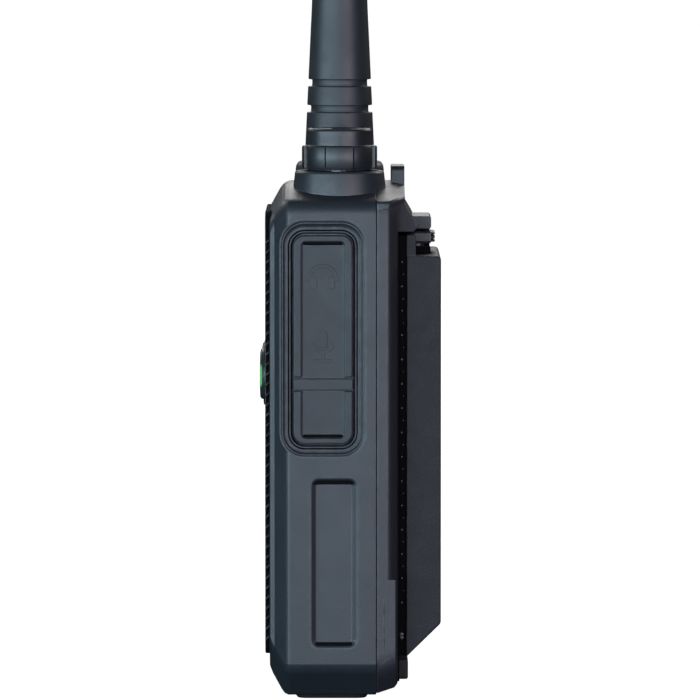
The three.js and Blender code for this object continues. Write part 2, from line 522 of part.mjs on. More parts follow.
// ---- Talk-button side ---------------------------------------------------------------------------
function sideButtons() {
  const top = POCKET.z1 - 0.5;
  const lowest = POCKET.z0 + 0.5;
  return [
    { name: 'ptt_button', z0: PTT.z0, z1: top, proud: PTT.proud },
    { name: 'side_key_upper', z0: lowest + SIDE_KEY_HEIGHT + 0.6, z1: PTT.z0 - 0.6, proud: 0.3 },
    { name: 'side_key_lower', z0: lowest, z1: lowest + SIDE_KEY_HEIGHT, proud: 0.3 },
  ];
}

function talkPieces() {
  const y0 = POCKET.y0 + 0.5;
  const y1 = POCKET.y1 - 0.5;
  const back = POCKET_FLOOR + PTT.travel + 0.1;
  for (const { name, z0, z1, proud } of sideButtons()) {
    const cap = alongX(roundRect(y0, y1, z0, z1, 2.2), -HALF - proud, -back);
    const plungerEnd = -POCKET_FLOOR + POCKET.floor - 0.4;
    const plunger = alongX(disc(JACK.y, (z0 + z1) / 2, PTT.plunger, 16), -back - 0.2, plungerEnd);
    piece(name, join(cap, plunger), name === 'ptt_button' ? 'rubber' : 'key');
  }
  const seal = -POCKET_FLOOR + POCKET.floor + PTT.travel - 0.1;
  piece('button_seal', box(seal, seal + 0.6, y0 + 1, y1 - 1, POCKET.z0 + 1, POCKET.z1 - 1), 'rubber');
  const board = seal + 0.6 + GAP;
  piece('switch_board', box(board, board + 1, y0 + 2.5, y1 - 1, POCKET.z0 + 1, POCKET.z1 - 1), 'board');
}

// ---- Rear half ----------------------------------------------------------------------------------
function chassis() {
  const plateRear = CHASSIS.front + CHASSIS.thickness;
  const fit = WALL + CHASSIS.side;
  const plate = housing(fit, plateRear + 20)
    .intersect(box(-HALF, HALF, CHASSIS.front, plateRear, CHASSIS.z0, BODY_TOP));
  const cap = alongY(frontOutline(0), PACK_FRONT, CAP.rear)
    .intersect(alongZ(roundedRear(FLANGE.flush, CAP.rear, FLANGE.turnIn + 1.5), CAP.z0, BODY_TOP + 1));
  const bridge = box(-20, 20, plateRear - 1, PACK_FRONT + 1, CAP.z0 + 0.1, BODY_TOP - 4.6);
  const tongue = alongX(new THREE.Shape([
    point(PACK_FRONT + 1.2, CAP.tongueZ), point(CAP.tongueRear, CAP.tongueZ),
    point(CAP.tongueRear + 0.75, CAP.tongueZ + 1), point(CAP.rear, CAP.z0 + 1), point(CAP.rear, CAP.z0 + 2),
    point(PACK_FRONT + 1.2, CAP.z0 + 2),
  ]), -CAP.tongueHalf, CAP.tongueHalf);
  const guard = alongX(
    roundRect(GUARD.y0, GUARD.y1, GUARD.z0, GUARD.z1, 0.7), -GUARD.halfWidth, GUARD.halfWidth);
  const lug = alongY(
    roundRect(-LUG.halfWidth, LUG.halfWidth, BODY_TOP - 3, BODY_TOP + LUG.rise, 1.2), LUG.y0, CAP.rear);
  const slotFoot = BODY_TOP - LUG.slotDrop;
  const slot = alongY(roundRect(-LUG.slotHalf, LUG.slotHalf, slotFoot, slotFoot + LUG.slotHeight,
    LUG.slotHeight / 2 - 0.05), LUG.y0 - 1, CAP.rear + 1);
  const well = box(-LUG.slotHalf, LUG.slotHalf, LUG.y0 - 2.2, LUG.y0 + 0.01, slotFoot - 1, BODY_TOP + 1);
  const screwHoles = screwPlaces.flatMap(({ x, z }) => [
    alongY(disc(x, z, SCREW.shank + GAP, 12), CHASSIS.front - 1, plateRear + 1),
    alongY(disc(x, z, SCREW.head + GAP, 16), plateRear - SCREW.headHeight - 0.2, plateRear + 1)]);
  const windowHalf = CONTACT.halfWidth + 0.6;
  const windows = [-CONTACT.x, CONTACT.x].map((x) => box(
    x - windowHalf, x + windowHalf, CHASSIS.front - 1, plateRear + 1, CONTACT.z0 - 0.6, CONTACT.z1 + 0.6));
  const collarRoom = [-STEM_X, STEM_X].map((x) =>
    alongZ(disc(x, STEM_Y, COLLAR.foot + GAP, 40), COLLAR_FOOT - GAP, BODY_TOP + 1));
  return cut(join(plate, cap, bridge, tongue, guard, lug),
    slot, well, ...collarRoom, ...screwHoles, ...windows);
}

function screwsAndSeal() {
  const plateRear = CHASSIS.front + CHASSIS.thickness;
  screwPlaces.forEach(({ x, z }, i) => {
    const head = alongY(disc(x, z, SCREW.head, 16), plateRear - SCREW.headHeight, plateRear - 0.1);
    const slot = box(x - 1.4, x + 1.4, plateRear - 0.6, plateRear + 1, z - 0.25, z + 0.25);
    const neck = plateRear - SCREW.headHeight + 0.1;
    const shank = alongY(disc(x, z, SCREW.shank, 10), plateRear - SCREW.length, neck);
    piece(`chassis_screw_${i + 1}`, join(cut(head, slot), shank), 'metal');
  });
  const y1 = CHASSIS.front - 0.1;
  const ring = (inset, grow) => alongY(frontOutline(inset), y1 - 0.5 - grow, y1 + grow);
  piece('chassis_seal', cut(ring(WALL + 1.1, 0), ring(WALL + 2.2, 1)), 'rubber');
}

function batteryOuter() {
  const flangeZ = (z0, z1) => box(-HALF, HALF, PACK_FRONT, FLANGE.rear, z0, z1);
  const plan = (flush) => alongZ(roundedRear(flush, FLANGE.rear, FLANGE.turnIn), 0, BODY_TOP);
  const skirt = alongX(new THREE.Shape([
    point(PACK_FRONT, FLANGE.z0), point(8.2, FLANGE.z0 + 0.3), point(9.1, FLANGE.z0 + 1.2),
    point(FLANGE.rear, FLANGE.z0 + 3.4), point(FLANGE.rear, FLANGE_TOP), point(PACK_FRONT, FLANGE_TOP)]),
    -HALF, HALF);
  const outline = alongY(frontOutline(0), PACK_FRONT - 1, FLANGE.rear + 1);
  const upper = plan(FLANGE.flush).intersect(flangeZ(FLANGE.heelTop - 0.1, FLANGE_TOP));
  const heel = plan(FLANGE.heelFlush).intersect(flangeZ(0, FLANGE.heelTop));
  const flange = join(upper, heel).intersect(skirt).intersect(outline);
  const neckTop = CAP.tongueZ - GAP;
  const hump = alongX(new THREE.Shape([
    point(HUMP.neck - 0.1, HUMP.z0), point(HUMP.rear, HUMP.slopeTop),
    ...arc(HUMP.rear - 1.2, HUMP.top - 1.2, 1.2, 0, 90, 3), point(HUMP.neck - 0.1, HUMP.top)]),
    -HUMP.halfWidth, HUMP.halfWidth);
  const edges = alongZ(roundRect(-HUMP.halfWidth, HUMP.halfWidth, 0, HUMP.rear, 1.4), 0, BODY_TOP);
  const neck = box(-HUMP.halfWidth + 0.9, HUMP.halfWidth - 0.9, FLANGE.rear - 0.5, HUMP.neck, 8.4, HUMP.top);
  const block = alongX(new THREE.Shape([
    point(FLANGE.rear - 0.5, HUMP.top - 0.5), point(CAP.tongueRear, HUMP.top - 0.5),
    point(CAP.tongueRear, neckTop), point(FLANGE.rear - 0.5, neckTop)]), -CAP.tongueHalf, CAP.tongueHalf);
  const lug = alongX(roundRect(FLANGE.rear - 1.5, PACK_LUG.rear, PACK_LUG.z0, PACK_LUG.z1, 0.8),
    -PACK_LUG.halfWidth, PACK_LUG.halfWidth);
  return join(flange, hump.intersect(edges), neck, block, lug);
}

function batteryPieces() {
  const plateRecess = { half: 23.6, y1: PACK_FRONT + 1.5, z0: 6.5, z1: 95.5 };
  const cavityRear = HUMP.rear - PACK_WALL;
  const cavityHalf = HUMP.halfWidth - PACK_WALL - 0.9;
  const cavity = alongX(new THREE.Shape([
    point(PACK_FRONT - 1, HUMP.z0 + 2.4), point(HUMP.neck, HUMP.z0 + 2.4),
    point(cavityRear, HUMP.slopeTop + 1), point(cavityRear, HUMP.top - PACK_WALL),
    point(PACK_FRONT - 1, HUMP.top - PACK_WALL)]), -cavityHalf, cavityHalf);
  const recess = box(-plateRecess.half, plateRecess.half, PACK_FRONT - 1, plateRecess.y1,
    plateRecess.z0, plateRecess.z1);
  const tongueSpace = box(-CAP.tongueHalf - GAP, CAP.tongueHalf + GAP, PACK_FRONT - 1, 30,
    CAP.tongueZ - GAP, BODY_TOP);
  const latchSpace = box(-LATCH.halfWidth - GAP, LATCH.halfWidth + GAP, LATCH.y0 - GAP, 30,
    LATCH.z0 - LATCH.travel - GAP, BODY_TOP);
  const stemY = LATCH.y0 + 2.1;
  const stemHole = alongZ(disc(0, stemY, LATCH.stem + GAP, 16), HUMP.top - 4, LATCH.z0);
  const shelfTop = HUMP.top - PACK_WALL - 1.2 - SPRING.length;
  const shelf = box(-4, 4, stemY - 2.4, cavityRear + 0.5, shelfTop - 1.2, shelfTop);
  const shelfPost = alongZ(disc(0, stemY, 0.8, 12), shelfTop - 0.2, shelfTop + 1.6);
  const hollowCase = cut(batteryOuter(), cavity, recess, tongueSpace, latchSpace, stemHole);
  piece('battery_case', join(hollowCase, shelf, shelfPost), 'pack');

  const padRoom = CONTACT.halfWidth + GAP;
  const padHoles = [-CONTACT.x, CONTACT.x].map((x) => box(
    x - padRoom, x + padRoom, PACK_FRONT - 1, PACK_FRONT + 3, CONTACT.z0 + 1 - GAP, CONTACT.z1 - 1 + GAP));
  piece('battery_inner_plate', cut(box(-plateRecess.half + GAP, plateRecess.half - GAP, PACK_FRONT + 0.1,
    PACK_FRONT + 1.2, plateRecess.z0 + GAP, plateRecess.z1 - GAP), ...padHoles), 'pack');
  for (const [name, x] of [['left', -CONTACT.x], ['right', CONTACT.x]]) {
    piece(`contact_pad_${name}`, box(x - CONTACT.halfWidth, x + CONTACT.halfWidth,
      PACK_FRONT + 0.2, PACK_FRONT + 1.6, CONTACT.z0 + 1, CONTACT.z1 - 1), 'brass');
    piece(`contact_spring_${name}`, contactSpring(x), 'brass');
  }
  for (const [name, side] of [['left', -1], ['right', 1]]) {
    const middle = side * (CELL.halfWidth - 0.6 + GAP);
    const y0 = PACK_FRONT + 2.2;
    piece(`battery_cell_${name}`, alongZ(roundRect(middle - CELL.halfWidth + 0.7, middle + CELL.halfWidth - 0.7,
      y0, y0 + CELL.thickness, 2.2), CELL.z0, CELL.z1), 'cell');
  }
  latchPieces(stemY, shelfTop);
}

function contactSpring(x) {
  const rear = PACK_FRONT + 0.05;
  const strip = new THREE.Shape([
    point(0.4, CONTACT.z0 - 3), point(0.7, CONTACT.z0 - 3), point(0.7, CONTACT.z0 + 0.4),
    point(rear - 0.9, CONTACT.z0 + 0.4), point(rear, CONTACT.z0 + 3), point(rear - 0.9, CONTACT.z1 - 0.6),
    point(rear - 1.2, CONTACT.z1 - 0.6), point(rear - 0.35, CONTACT.z0 + 3),
    point(rear - 1.1, CONTACT.z0 + 0.7), point(0.4, CONTACT.z0 + 0.7)]);
  return alongX(strip, x - 1.3, x + 1.3);
}

function latchPieces(stemY, shelfTop) {
  const profile = [point(LATCH.y0, LATCH.z0), point(LATCH.y1, LATCH.z0)];
  const pitch = (LATCH.z1 - LATCH.z0) / 3;
  for (let i = 0; i < 3; i += 1) {
    const z = LATCH.z0 + i * pitch;
    profile.push(point(LATCH.y1 + LATCH.ridge, z + 0.2 * pitch), point(LATCH.y1 + LATCH.ridge, z + 0.7 * pitch),
      point(LATCH.y1, z + 0.9 * pitch));
  }
  profile.push(point(LATCH.y1, LATCH.z1), point(LATCH.y0, LATCH.z1));
  const block = alongX(new THREE.Shape(profile), -LATCH.halfWidth, LATCH.halfWidth);
  const stemFoot = shelfTop + SPRING.length + 0.2;
  const stem = alongZ(disc(0, stemY, LATCH.stem, 16), stemFoot, LATCH.z0 + 0.1);
  piece('battery_latch', join(block, stem), 'trim');
  const coil = new THREE.CatmullRomCurve3(Array.from({ length: SPRING.turns * 10 + 1 }, (_, i) => {
    const angle = 2 * Math.PI * i / 10;
    const rise = SPRING.wire + 0.1 + (SPRING.length - 2 * SPRING.wire - 0.2) * i / (SPRING.turns * 10);
    const [x, y] = [SPRING.radius * Math.cos(angle), SPRING.radius * Math.sin(angle)];
    return new THREE.Vector3(x, stemY + y, shelfTop + rise);
  }));
  const path = { steps: SPRING.turns * 10, extrudePath: coil };
  piece('latch_spring', solid(new THREE.ExtrudeGeometry(disc(0, 0, SPRING.wire, 6), path)), 'metal');
}

// ---- Assembly -----------------------------------------------------------------------------------
piece('front_shell', frontShell(), 'body');
piece('front_panel', frontPanel(), 'trim');
displayPieces();
keypadPieces();
electronics();
volumeControl();
aerialPieces();
coverPieces();
talkPieces();
const footOutline = roundRect(-FOOT.halfWidth, FOOT.halfWidth, FOOT.y0, FOOT.y1, FOOT.radius);
piece('base_foot', alongZ(footOutline, 0, FOOT.height), 'rubber');
piece('chassis', chassis(), 'body');
screwsAndSeal();
batteryPieces();

export default radio;
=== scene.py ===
# %% [markdown]
# # A handheld two-way radio, modelled piece by piece
# The moving parts, sizes and joints are already fixed by the engineering frame that this file loads.
# Here each plain solid gets the shape and the finish that the real piece has: moulded plastic with
# rounded edges, printed keys, a rubber jack cover, a ribbed knob and a soft antenna. Each cell makes
# one piece or one finish, after a few words on how it could be made and why this way was taken.

# %% Load the frame
import math
import bmesh
import bpy
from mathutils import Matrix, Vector
from mathutils.geometry import tessellate_polygon


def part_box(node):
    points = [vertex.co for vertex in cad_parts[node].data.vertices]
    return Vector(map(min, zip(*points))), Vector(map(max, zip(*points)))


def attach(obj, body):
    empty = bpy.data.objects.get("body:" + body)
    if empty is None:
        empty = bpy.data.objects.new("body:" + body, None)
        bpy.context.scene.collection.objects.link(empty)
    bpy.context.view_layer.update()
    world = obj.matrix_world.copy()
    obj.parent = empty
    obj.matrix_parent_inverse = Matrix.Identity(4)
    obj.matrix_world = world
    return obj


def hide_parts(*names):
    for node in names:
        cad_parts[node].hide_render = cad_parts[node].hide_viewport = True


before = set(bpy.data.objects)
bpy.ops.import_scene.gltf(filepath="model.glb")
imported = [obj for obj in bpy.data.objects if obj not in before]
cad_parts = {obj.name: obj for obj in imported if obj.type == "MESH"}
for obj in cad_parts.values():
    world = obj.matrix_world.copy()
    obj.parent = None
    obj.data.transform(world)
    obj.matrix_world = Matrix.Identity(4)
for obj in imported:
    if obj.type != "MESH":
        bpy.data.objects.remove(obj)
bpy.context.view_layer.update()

# %% [markdown]
# ## Working in millimetres
# Blender's scene is in metres, and a radio is designed in millimetres. Every helper below takes
# millimetres and turns them into metres only when the mesh is made, so the numbers read like a drawing.

# %% Millimetres
MM = 0.001


def node_box(node):
    """The lowest and highest corner of a frame node, in millimetres."""
    low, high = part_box(node)
    return low / MM, high / MM


shell_low, shell_high = node_box("front_shell")
pack_low, pack_high = node_box("battery_case")
chassis_high = node_box("chassis")[1]
panel_low, panel_high = node_box("front_panel")
HALF = shell_high.x                 # half the body's width
FRONT = shell_low.y                 # front plane of the shell
BOTTOM = shell_low.z
COLLAR_TOP = shell_high.z
TOP = 111.6                         # middle of the crowned top
PACK_FRONT = pack_low.y
SEAM = PACK_FRONT - 0.15            # where the shell and the battery nearly touch
WALL = 2.2
CROWN_RADIUS = 118.6
print(f"body {2 * HALF:.1f} wide, {TOP:.1f} high, seam at {SEAM:.2f}")

# %% [markdown]
# ## Camera
# A product picture is taken from far away with a long lens, so that the sides stay parallel. The radio
# is seen from its right side, a little from above, with the antenna running out of the frame.

# %% Camera
VIEW_ELEVATION = math.radians(3.5)
VIEW_DISTANCE = 1.60
FRAME_WIDTH = 0.1505                # of the picture, measured at the radio's near side
camera = bpy.data.objects.new("camera", bpy.data.cameras.new("camera"))
bpy.context.collection.objects.link(camera)
camera.data.sensor_width = 36
camera.data.lens = 36 * (VIEW_DISTANCE - HALF * MM) / FRAME_WIDTH
camera.data.clip_end = 50
backwards = Vector((math.cos(VIEW_ELEVATION), 0, math.sin(VIEW_ELEVATION)))
aim = Vector((0, -0.0002, 0.0744))
camera.location = aim + backwards * VIEW_DISTANCE
camera.rotation_euler = (-backwards).to_track_quat("-Z", "Y").to_euler()
bpy.context.scene.camera = camera
bpy.context.scene.view_settings.view_transform = "Standard"
print(f"lens {camera.data.lens:.0f} mm")

# %% [markdown]
# ## Light and floor
# Dark plastic is lit with two big softboxes beside the camera, one a little cool and one a little
# warm, so that the round pieces turn to black at their edges. Weak lights round about keep the other
# sides readable. The floor is pale, and it is made bright for the camera only: it would otherwise
# throw light up under the radio and wash out its dark underside.


# %% Softboxes and floor
def softbox(name, place, size, power, colour):
    light = bpy.data.lights.new(name, "AREA")
    light.shape = "RECTANGLE"
    light.size, light.size_y = size
    light.energy = power
    light.color = colour
    lamp = bpy.data.objects.new(name, light)
    bpy.context.collection.objects.link(lamp)
    lamp.location = place
    lamp.rotation_euler = (Vector((0, 0, 0.07)) - Vector(place)).to_track_quat("-Z", "Y").to_euler()


softbox("cool_key", (1.17, -0.94, 0.12), (2.3, 0.3), 32, (0.69, 0.92, 1.07))
softbox("warm_key", (1.32, 0.70, 0.12), (1.3, 0.3), 12.5, (1.0, 0.94, 1.1))
softbox("top_light", (-1.1, 0.0, 1.3), (0.8, 0.8), 1.5, (1, 1, 1))
softbox("front_light", (-1.5, -1.3, 1.1), (0.8, 0.9), 7, (0.95, 0.98, 1))
softbox("back_light", (-1.5, 1.5, 1.1), (0.8, 0.9), 11, (1, 0.98, 0.96))
softbox("far_side_light", (-1.6, 0.0, 0.9), (0.8, 0.9), 7, (1, 1, 1))

world = bpy.data.worlds.new("studio")
bpy.context.scene.world = world
world.use_nodes = True
sky = world.node_tree.nodes
links = world.node_tree.links
camera_ray = sky.new("ShaderNodeLightPath")
backdrop = sky.new("ShaderNodeMix")
backdrop.data_type = "RGBA"
backdrop.inputs["A"].default_value = (0.02, 0.022, 0.025, 1)
backdrop.inputs["B"].default_value = (1.1, 1.1, 1.1, 1)
links.new(camera_ray.outputs["Is Camera Ray"], backdrop.inputs["Factor"])
links.new(backdrop.outputs["Result"], sky["Background"].inputs["Color"])

floor_mesh = bpy.data.meshes.new("floor")
floor_mesh.from_pydata([(-9, -9, 0), (9, -9, 0), (9, 9, 0), (-9, 9, 0)], [], [(0, 1, 2, 3)])
floor = bpy.data.objects.new("floor", floor_mesh)
bpy.context.collection.objects.link(floor)
paper = bpy.data.materials.new("pale_paper")
paper.use_nodes = True
tree = paper.node_tree
tree.nodes.clear()
bright = tree.nodes.new("ShaderNodeEmission")
bright.inputs["Color"].default_value = (1, 1, 1, 1)
bright.inputs["Strength"].default_value = 1.0
matt = tree.nodes.new("ShaderNodeBsdfDiffuse")
matt.inputs["Color"].default_value = (0.25, 0.25, 0.25, 1)
both = tree.nodes.new("ShaderNodeAddShader")
dim = tree.nodes.new("ShaderNodeBsdfDiffuse")
dim.inputs["Color"].default_value = (0.02, 0.02, 0.02, 1)
choose = tree.nodes.new("ShaderNodeMixShader")
ray = tree.nodes.new("ShaderNodeLightPath")
out = tree.nodes.new("ShaderNodeOutputMaterial")
tree.links.new(bright.outputs[0], both.inputs[0])
tree.links.new(matt.outputs[0], both.inputs[1])
tree.links.new(ray.outputs["Is Camera Ray"], choose.inputs[0])
tree.links.new(dim.outputs[0], choose.inputs[1])
tree.links.new(both.outputs[0], choose.inputs[2])
tree.links.new(choose.outputs[0], out.inputs["Surface"])
floor_mesh.materials.append(paper)
print("lights:", len(bpy.data.lights))

# %% [markdown]
# ## Effects shared by the materials
# Moulded plastic is never one flat colour. The mould is etched, so the surface has a fine grain; the
# resin flows, so there is a faint cloudiness; and corners that hands touch turn a little lighter and
# smoother. Each effect is one node group with its own sizes, used in every finish with other values.


# %% Node group helpers
def new_group(name, numbers, outputs):
    """A shader node group with number inputs (name: default) and outputs (name: socket type)."""
    group = bpy.data.node_groups.new(name, "ShaderNodeTree")
    for title, value in numbers.items():
        socket = group.interface.new_socket(name=title, in_out="INPUT", socket_type="NodeSocketFloat")
        socket.default_value = value
    for title, kind in outputs.items():
        group.interface.new_socket(name=title, in_out="OUTPUT", socket_type=kind)
    return group, group.nodes.new("NodeGroupInput"), group.nodes.new("NodeGroupOutput")


def add_node(tree, kind, **settings):
    node = tree.nodes.new(kind)
    for key, value in settings.items():
        setattr(node, key, value)
    return node


def maths(tree, operation, first, second=None, clamp=False):
    """A math node whose inputs are sockets or plain numbers; gives its output socket."""
    node = add_node(tree, "ShaderNodeMath", operation=operation, use_clamp=clamp)
    for place, value in enumerate((first, second)):
        if value is None:
            continue
        if isinstance(value, (int, float)):
            node.inputs[place].default_value = value
        else:
            tree.links.new(value, node.inputs[place])
    return node.outputs[0]


# %% The etched grain
def make_grain():
    """Grain size in millimetres; gives a height, a slow cloudiness and a fine speckle, all 0 to 1."""
    group, given, result = new_group(
        "etched_grain", {"Grain Size": 0.3, "Cloud Size": 12},
        {"Height": "NodeSocketFloat", "Cloud": "NodeSocketFloat", "Speckle": "NodeSocketFloat"})
    where = add_node(group, "ShaderNodeTexCoord").outputs["Object"]
    fine = add_node(group, "ShaderNodeTexNoise")
    fine.inputs["Detail"].default_value = 3
    fine.inputs["Roughness"].default_value = 0.6
    cells = add_node(group, "ShaderNodeTexVoronoi", feature="SMOOTH_F1")
    cloud = add_node(group, "ShaderNodeTexNoise")
    cloud.inputs["Detail"].default_value = 4
    grain_scale = maths(group, "DIVIDE", 1000.0, given.outputs["Grain Size"])
    group.links.new(grain_scale, fine.inputs["Scale"])
    group.links.new(maths(group, "MULTIPLY", grain_scale, 0.8), cells.inputs["Scale"])
    group.links.new(maths(group, "DIVIDE", 1000.0, given.outputs["Cloud Size"]), cloud.inputs["Scale"])
    for texture in (fine, cells, cloud):
        group.links.new(where, texture.inputs["Vector"])
    height = maths(group, "ADD", maths(group, "MULTIPLY", fine.outputs["Fac"], 0.6),
                   maths(group, "MULTIPLY", cells.outputs["Distance"], 0.6))
    group.links.new(height, result.inputs["Height"])
    group.links.new(cloud.outputs["Fac"], result.inputs["Cloud"])
    speckle = maths(group, "SUBTRACT", fine.outputs["Fac"], 0.5)
    speckle = maths(group, "ADD", maths(group, "MULTIPLY", speckle, 3.0), 0.5, clamp=True)
    group.links.new(speckle, result.inputs["Speckle"])
    return group


grain_group = make_grain()
print("group:", grain_group.name)


# %% Worn corners
def make_wear():
    """1 on sharp outer corners and 0 elsewhere, broken up by a noise. Radius is in millimetres."""
    group, given, result = new_group(
        "worn_corners", {"Radius": 0.4, "Amount": 1.0}, {"Wear": "NodeSocketFloat"})
    rounded = add_node(group, "ShaderNodeBevel", samples=4)
    group.links.new(maths(group, "MULTIPLY", given.outputs["Radius"], MM), rounded.inputs["Radius"])
    geometry = add_node(group, "ShaderNodeNewGeometry")
    compare = add_node(group, "ShaderNodeVectorMath", operation="DOT_PRODUCT")
    group.links.new(rounded.outputs["Normal"], compare.inputs[0])
    group.links.new(geometry.outputs["Normal"], compare.inputs[1])
    corner = maths(group, "SUBTRACT", 1.0, compare.outputs["Value"])
    corner = maths(group, "MULTIPLY", corner, 6.0, clamp=True)
    patches = add_node(group, "ShaderNodeTexNoise")
    patches.inputs["Scale"].default_value = 420
    patches.inputs["Detail"].default_value = 4
    where = add_node(group, "ShaderNodeTexCoord").outputs["Object"]
    group.links.new(where, patches.inputs["Vector"])
    broken = maths(group, "MULTIPLY", maths(group, "SUBTRACT", patches.outputs["Fac"], 0.38), 3.2, clamp=True)
    wear = maths(group, "MULTIPLY", maths(group, "MULTIPLY", corner, broken), given.outputs["Amount"],
                 clamp=True)
    group.links.new(wear, result.inputs["Wear"])
    return group


wear_group = make_wear()
print("group:", wear_group.name)


# %% Fingerprints and dust
def make_touch():
    """Soft smudges that change the roughness, and a little settled dust on faces that look up."""
    group, given, result = new_group(
        "touched_surface", {"Smudge Size": 9.0, "Dust": 0.15},
        {"Smudge": "NodeSocketFloat", "Dust": "NodeSocketFloat"})
    where = add_node(group, "ShaderNodeTexCoord").outputs["Object"]
    smudge = add_node(group, "ShaderNodeTexNoise")
    smudge.inputs["Detail"].default_value = 2
    smudge.inputs["Distortion"].default_value = 1.2
    group.links.new(where, smudge.inputs["Vector"])
    group.links.new(maths(group, "DIVIDE", 1000.0, given.outputs["Smudge Size"]), smudge.inputs["Scale"])
    dust_noise = add_node(group, "ShaderNodeTexNoise")
    dust_noise.inputs["Scale"].default_value = 2600
    dust_noise.inputs["Detail"].default_value = 5
    group.links.new(where, dust_noise.inputs["Vector"])
    facing = add_node(group, "ShaderNodeSeparateXYZ")
    group.links.new(add_node(group, "ShaderNodeNewGeometry").outputs["Normal"], facing.inputs[0])
    up = maths(group, "MULTIPLY", facing.outputs["Z"], given.outputs["Dust"], clamp=True)
    grains = maths(group, "MULTIPLY", maths(group, "SUBTRACT", dust_noise.outputs["Fac"], 0.45), 4.0,
                   clamp=True)
    group.links.new(smudge.outputs["Fac"], result.inputs["Smudge"])
    group.links.new(maths(group, "MULTIPLY", up, grains), result.inputs["Dust"])
    return group


touch_group = make_touch()
print("group:", touch_group.name)

# %% [markdown]
# ## The finishes
# One recipe serves every moulded surface: a base colour that drifts between two close tones, a
# roughness that follows grain and smudges, a grain in the bump, and lighter worn corners. What makes
# the shell look different from the rubber is only the values.


# %% The moulded recipe
def blend_colour(tree, factor, first, second):
    """A colour mix; first and second are colours or sockets."""
    node = add_node(tree, "ShaderNodeMix", data_type="RGBA")
    tree.links.new(factor, node.inputs["Factor"])
    for title, value in (("A", first), ("B", second)):
        if isinstance(value, tuple):
            node.inputs[title].default_value = (*value, 1)
        else:
            tree.links.new(value, node.inputs[title])
    return node.outputs["Result"]


def place_group(tree, group, **values):
    node = add_node(tree, "ShaderNodeGroup", node_tree=group)
    for title, value in values.items():
        node.inputs[title.replace("_", " ")].default_value = value
    return node.outputs


def moulded(name, colour, drift, rough, grain=0.3, bump=0.25, worn=(0.2, 0.22, 0.25), wear=0.35,
            dust=0.1, specular=0.5, metallic=0.0, coat=0.0):
    """A moulded or painted surface. colour and drift are the two tones that the base moves between."""
    material = bpy.data.materials.new(name)
    material.use_nodes = True
    tree = material.node_tree
    shader = tree.nodes["Principled BSDF"]
    etched = place_group(tree, grain_group, Grain_Size=grain, Cloud_Size=14.0)
    corners = place_group(tree, wear_group, Radius=0.35, Amount=wear)
    touched = place_group(tree, touch_group, Smudge_Size=8.0, Dust=dust)
    tone = blend_colour(tree, etched["Cloud"], colour, drift)
    speck = tuple(min(1.0, c * 1.5 + 0.004) for c in drift)
    tone = blend_colour(tree, maths(tree, "MULTIPLY", etched["Speckle"], 0.35), tone, speck)
    tone = blend_colour(tree, corners["Wear"], tone, worn)
    tone = blend_colour(tree, maths(tree, "MULTIPLY", touched["Dust"], 0.5), tone, (0.3, 0.29, 0.27))
    tree.links.new(tone, shader.inputs["Base Color"])
    swing = maths(tree, "MULTIPLY", maths(tree, "SUBTRACT", touched["Smudge"], 0.5), 0.16)
    fine = maths(tree, "MULTIPLY", maths(tree, "SUBTRACT", etched["Speckle"], 0.5), 0.12)
    level = maths(tree, "ADD", maths(tree, "ADD", swing, fine), rough, clamp=True)
    level = maths(tree, "SUBTRACT", level, maths(tree, "MULTIPLY", corners["Wear"], 0.1), clamp=True)
    tree.links.new(level, shader.inputs["Roughness"])
    relief = add_node(tree, "ShaderNodeBump")
    relief.inputs["Strength"].default_value = bump
    relief.inputs["Distance"].default_value = grain * MM * 0.35
    tree.links.new(etched["Height"], relief.inputs["Height"])
    tree.links.new(relief.outputs["Normal"], shader.inputs["Normal"])
    shader.inputs["Specular IOR Level"].default_value = specular
    shader.inputs["Metallic"].default_value = metallic
    shader.inputs["Coat Weight"].default_value = coat
    return material


# %% Plastics, rubbers and metals
body_plastic = moulded("body_plastic", (0.012, 0.016, 0.021), (0.015, 0.019, 0.024), 0.44, grain=0.28,
                       bump=0.22)
trim_plastic = moulded("trim_plastic", (0.010, 0.012, 0.015), (0.013, 0.015, 0.018), 0.40, grain=0.2,
                       bump=0.15)
pack_plastic = moulded("pack_plastic", (0.009, 0.009, 0.011), (0.012, 0.012, 0.014), 0.54, grain=0.35,
                       bump=0.3, specular=0.25)
cover_rubber = moulded("cover_rubber", (0.010, 0.014, 0.018), (0.013, 0.017, 0.021), 0.51, grain=0.22,
                       bump=0.14)
mark_rubber = moulded("mark_rubber", (0.008, 0.011, 0.014), (0.010, 0.013, 0.016), 0.48, grain=0.22, wear=0.0)
antenna_rubber = moulded("antenna_rubber", (0.014, 0.017, 0.020), (0.017, 0.020, 0.024), 0.47, grain=0.2,
                         bump=0.1, wear=0.2)
foot_rubber = moulded("foot_rubber", (0.004, 0.004, 0.005), (0.006, 0.006, 0.007), 0.7, grain=0.5, bump=0.4)
key_rubber = moulded("key_rubber", (0.018, 0.020, 0.023), (0.024, 0.026, 0.029), 0.45, grain=0.25, bump=0.15)
green_rubber = moulded("green_rubber", (0.05, 0.33, 0.06), (0.07, 0.42, 0.08), 0.4, grain=0.25, bump=0.12,
                       worn=(0.3, 0.6, 0.3))
legend_paint = moulded("legend_paint", (0.62, 0.64, 0.66), (0.7, 0.72, 0.74), 0.5, grain=0.15, wear=0.0)
circuit_lacquer = moulded("circuit_lacquer", (0.008, 0.075, 0.03), (0.012, 0.10, 0.045), 0.3, grain=0.8,
                          bump=0.3, coat=0.4)
black_plastic = moulded("black_plastic", (0.006, 0.006, 0.007), (0.009, 0.009, 0.010), 0.5, specular=0.28)
plated_steel = moulded("plated_steel", (0.5, 0.5, 0.52), (0.6, 0.6, 0.61), 0.28, grain=0.4, bump=0.08,
                       metallic=1.0, worn=(0.8, 0.8, 0.8))
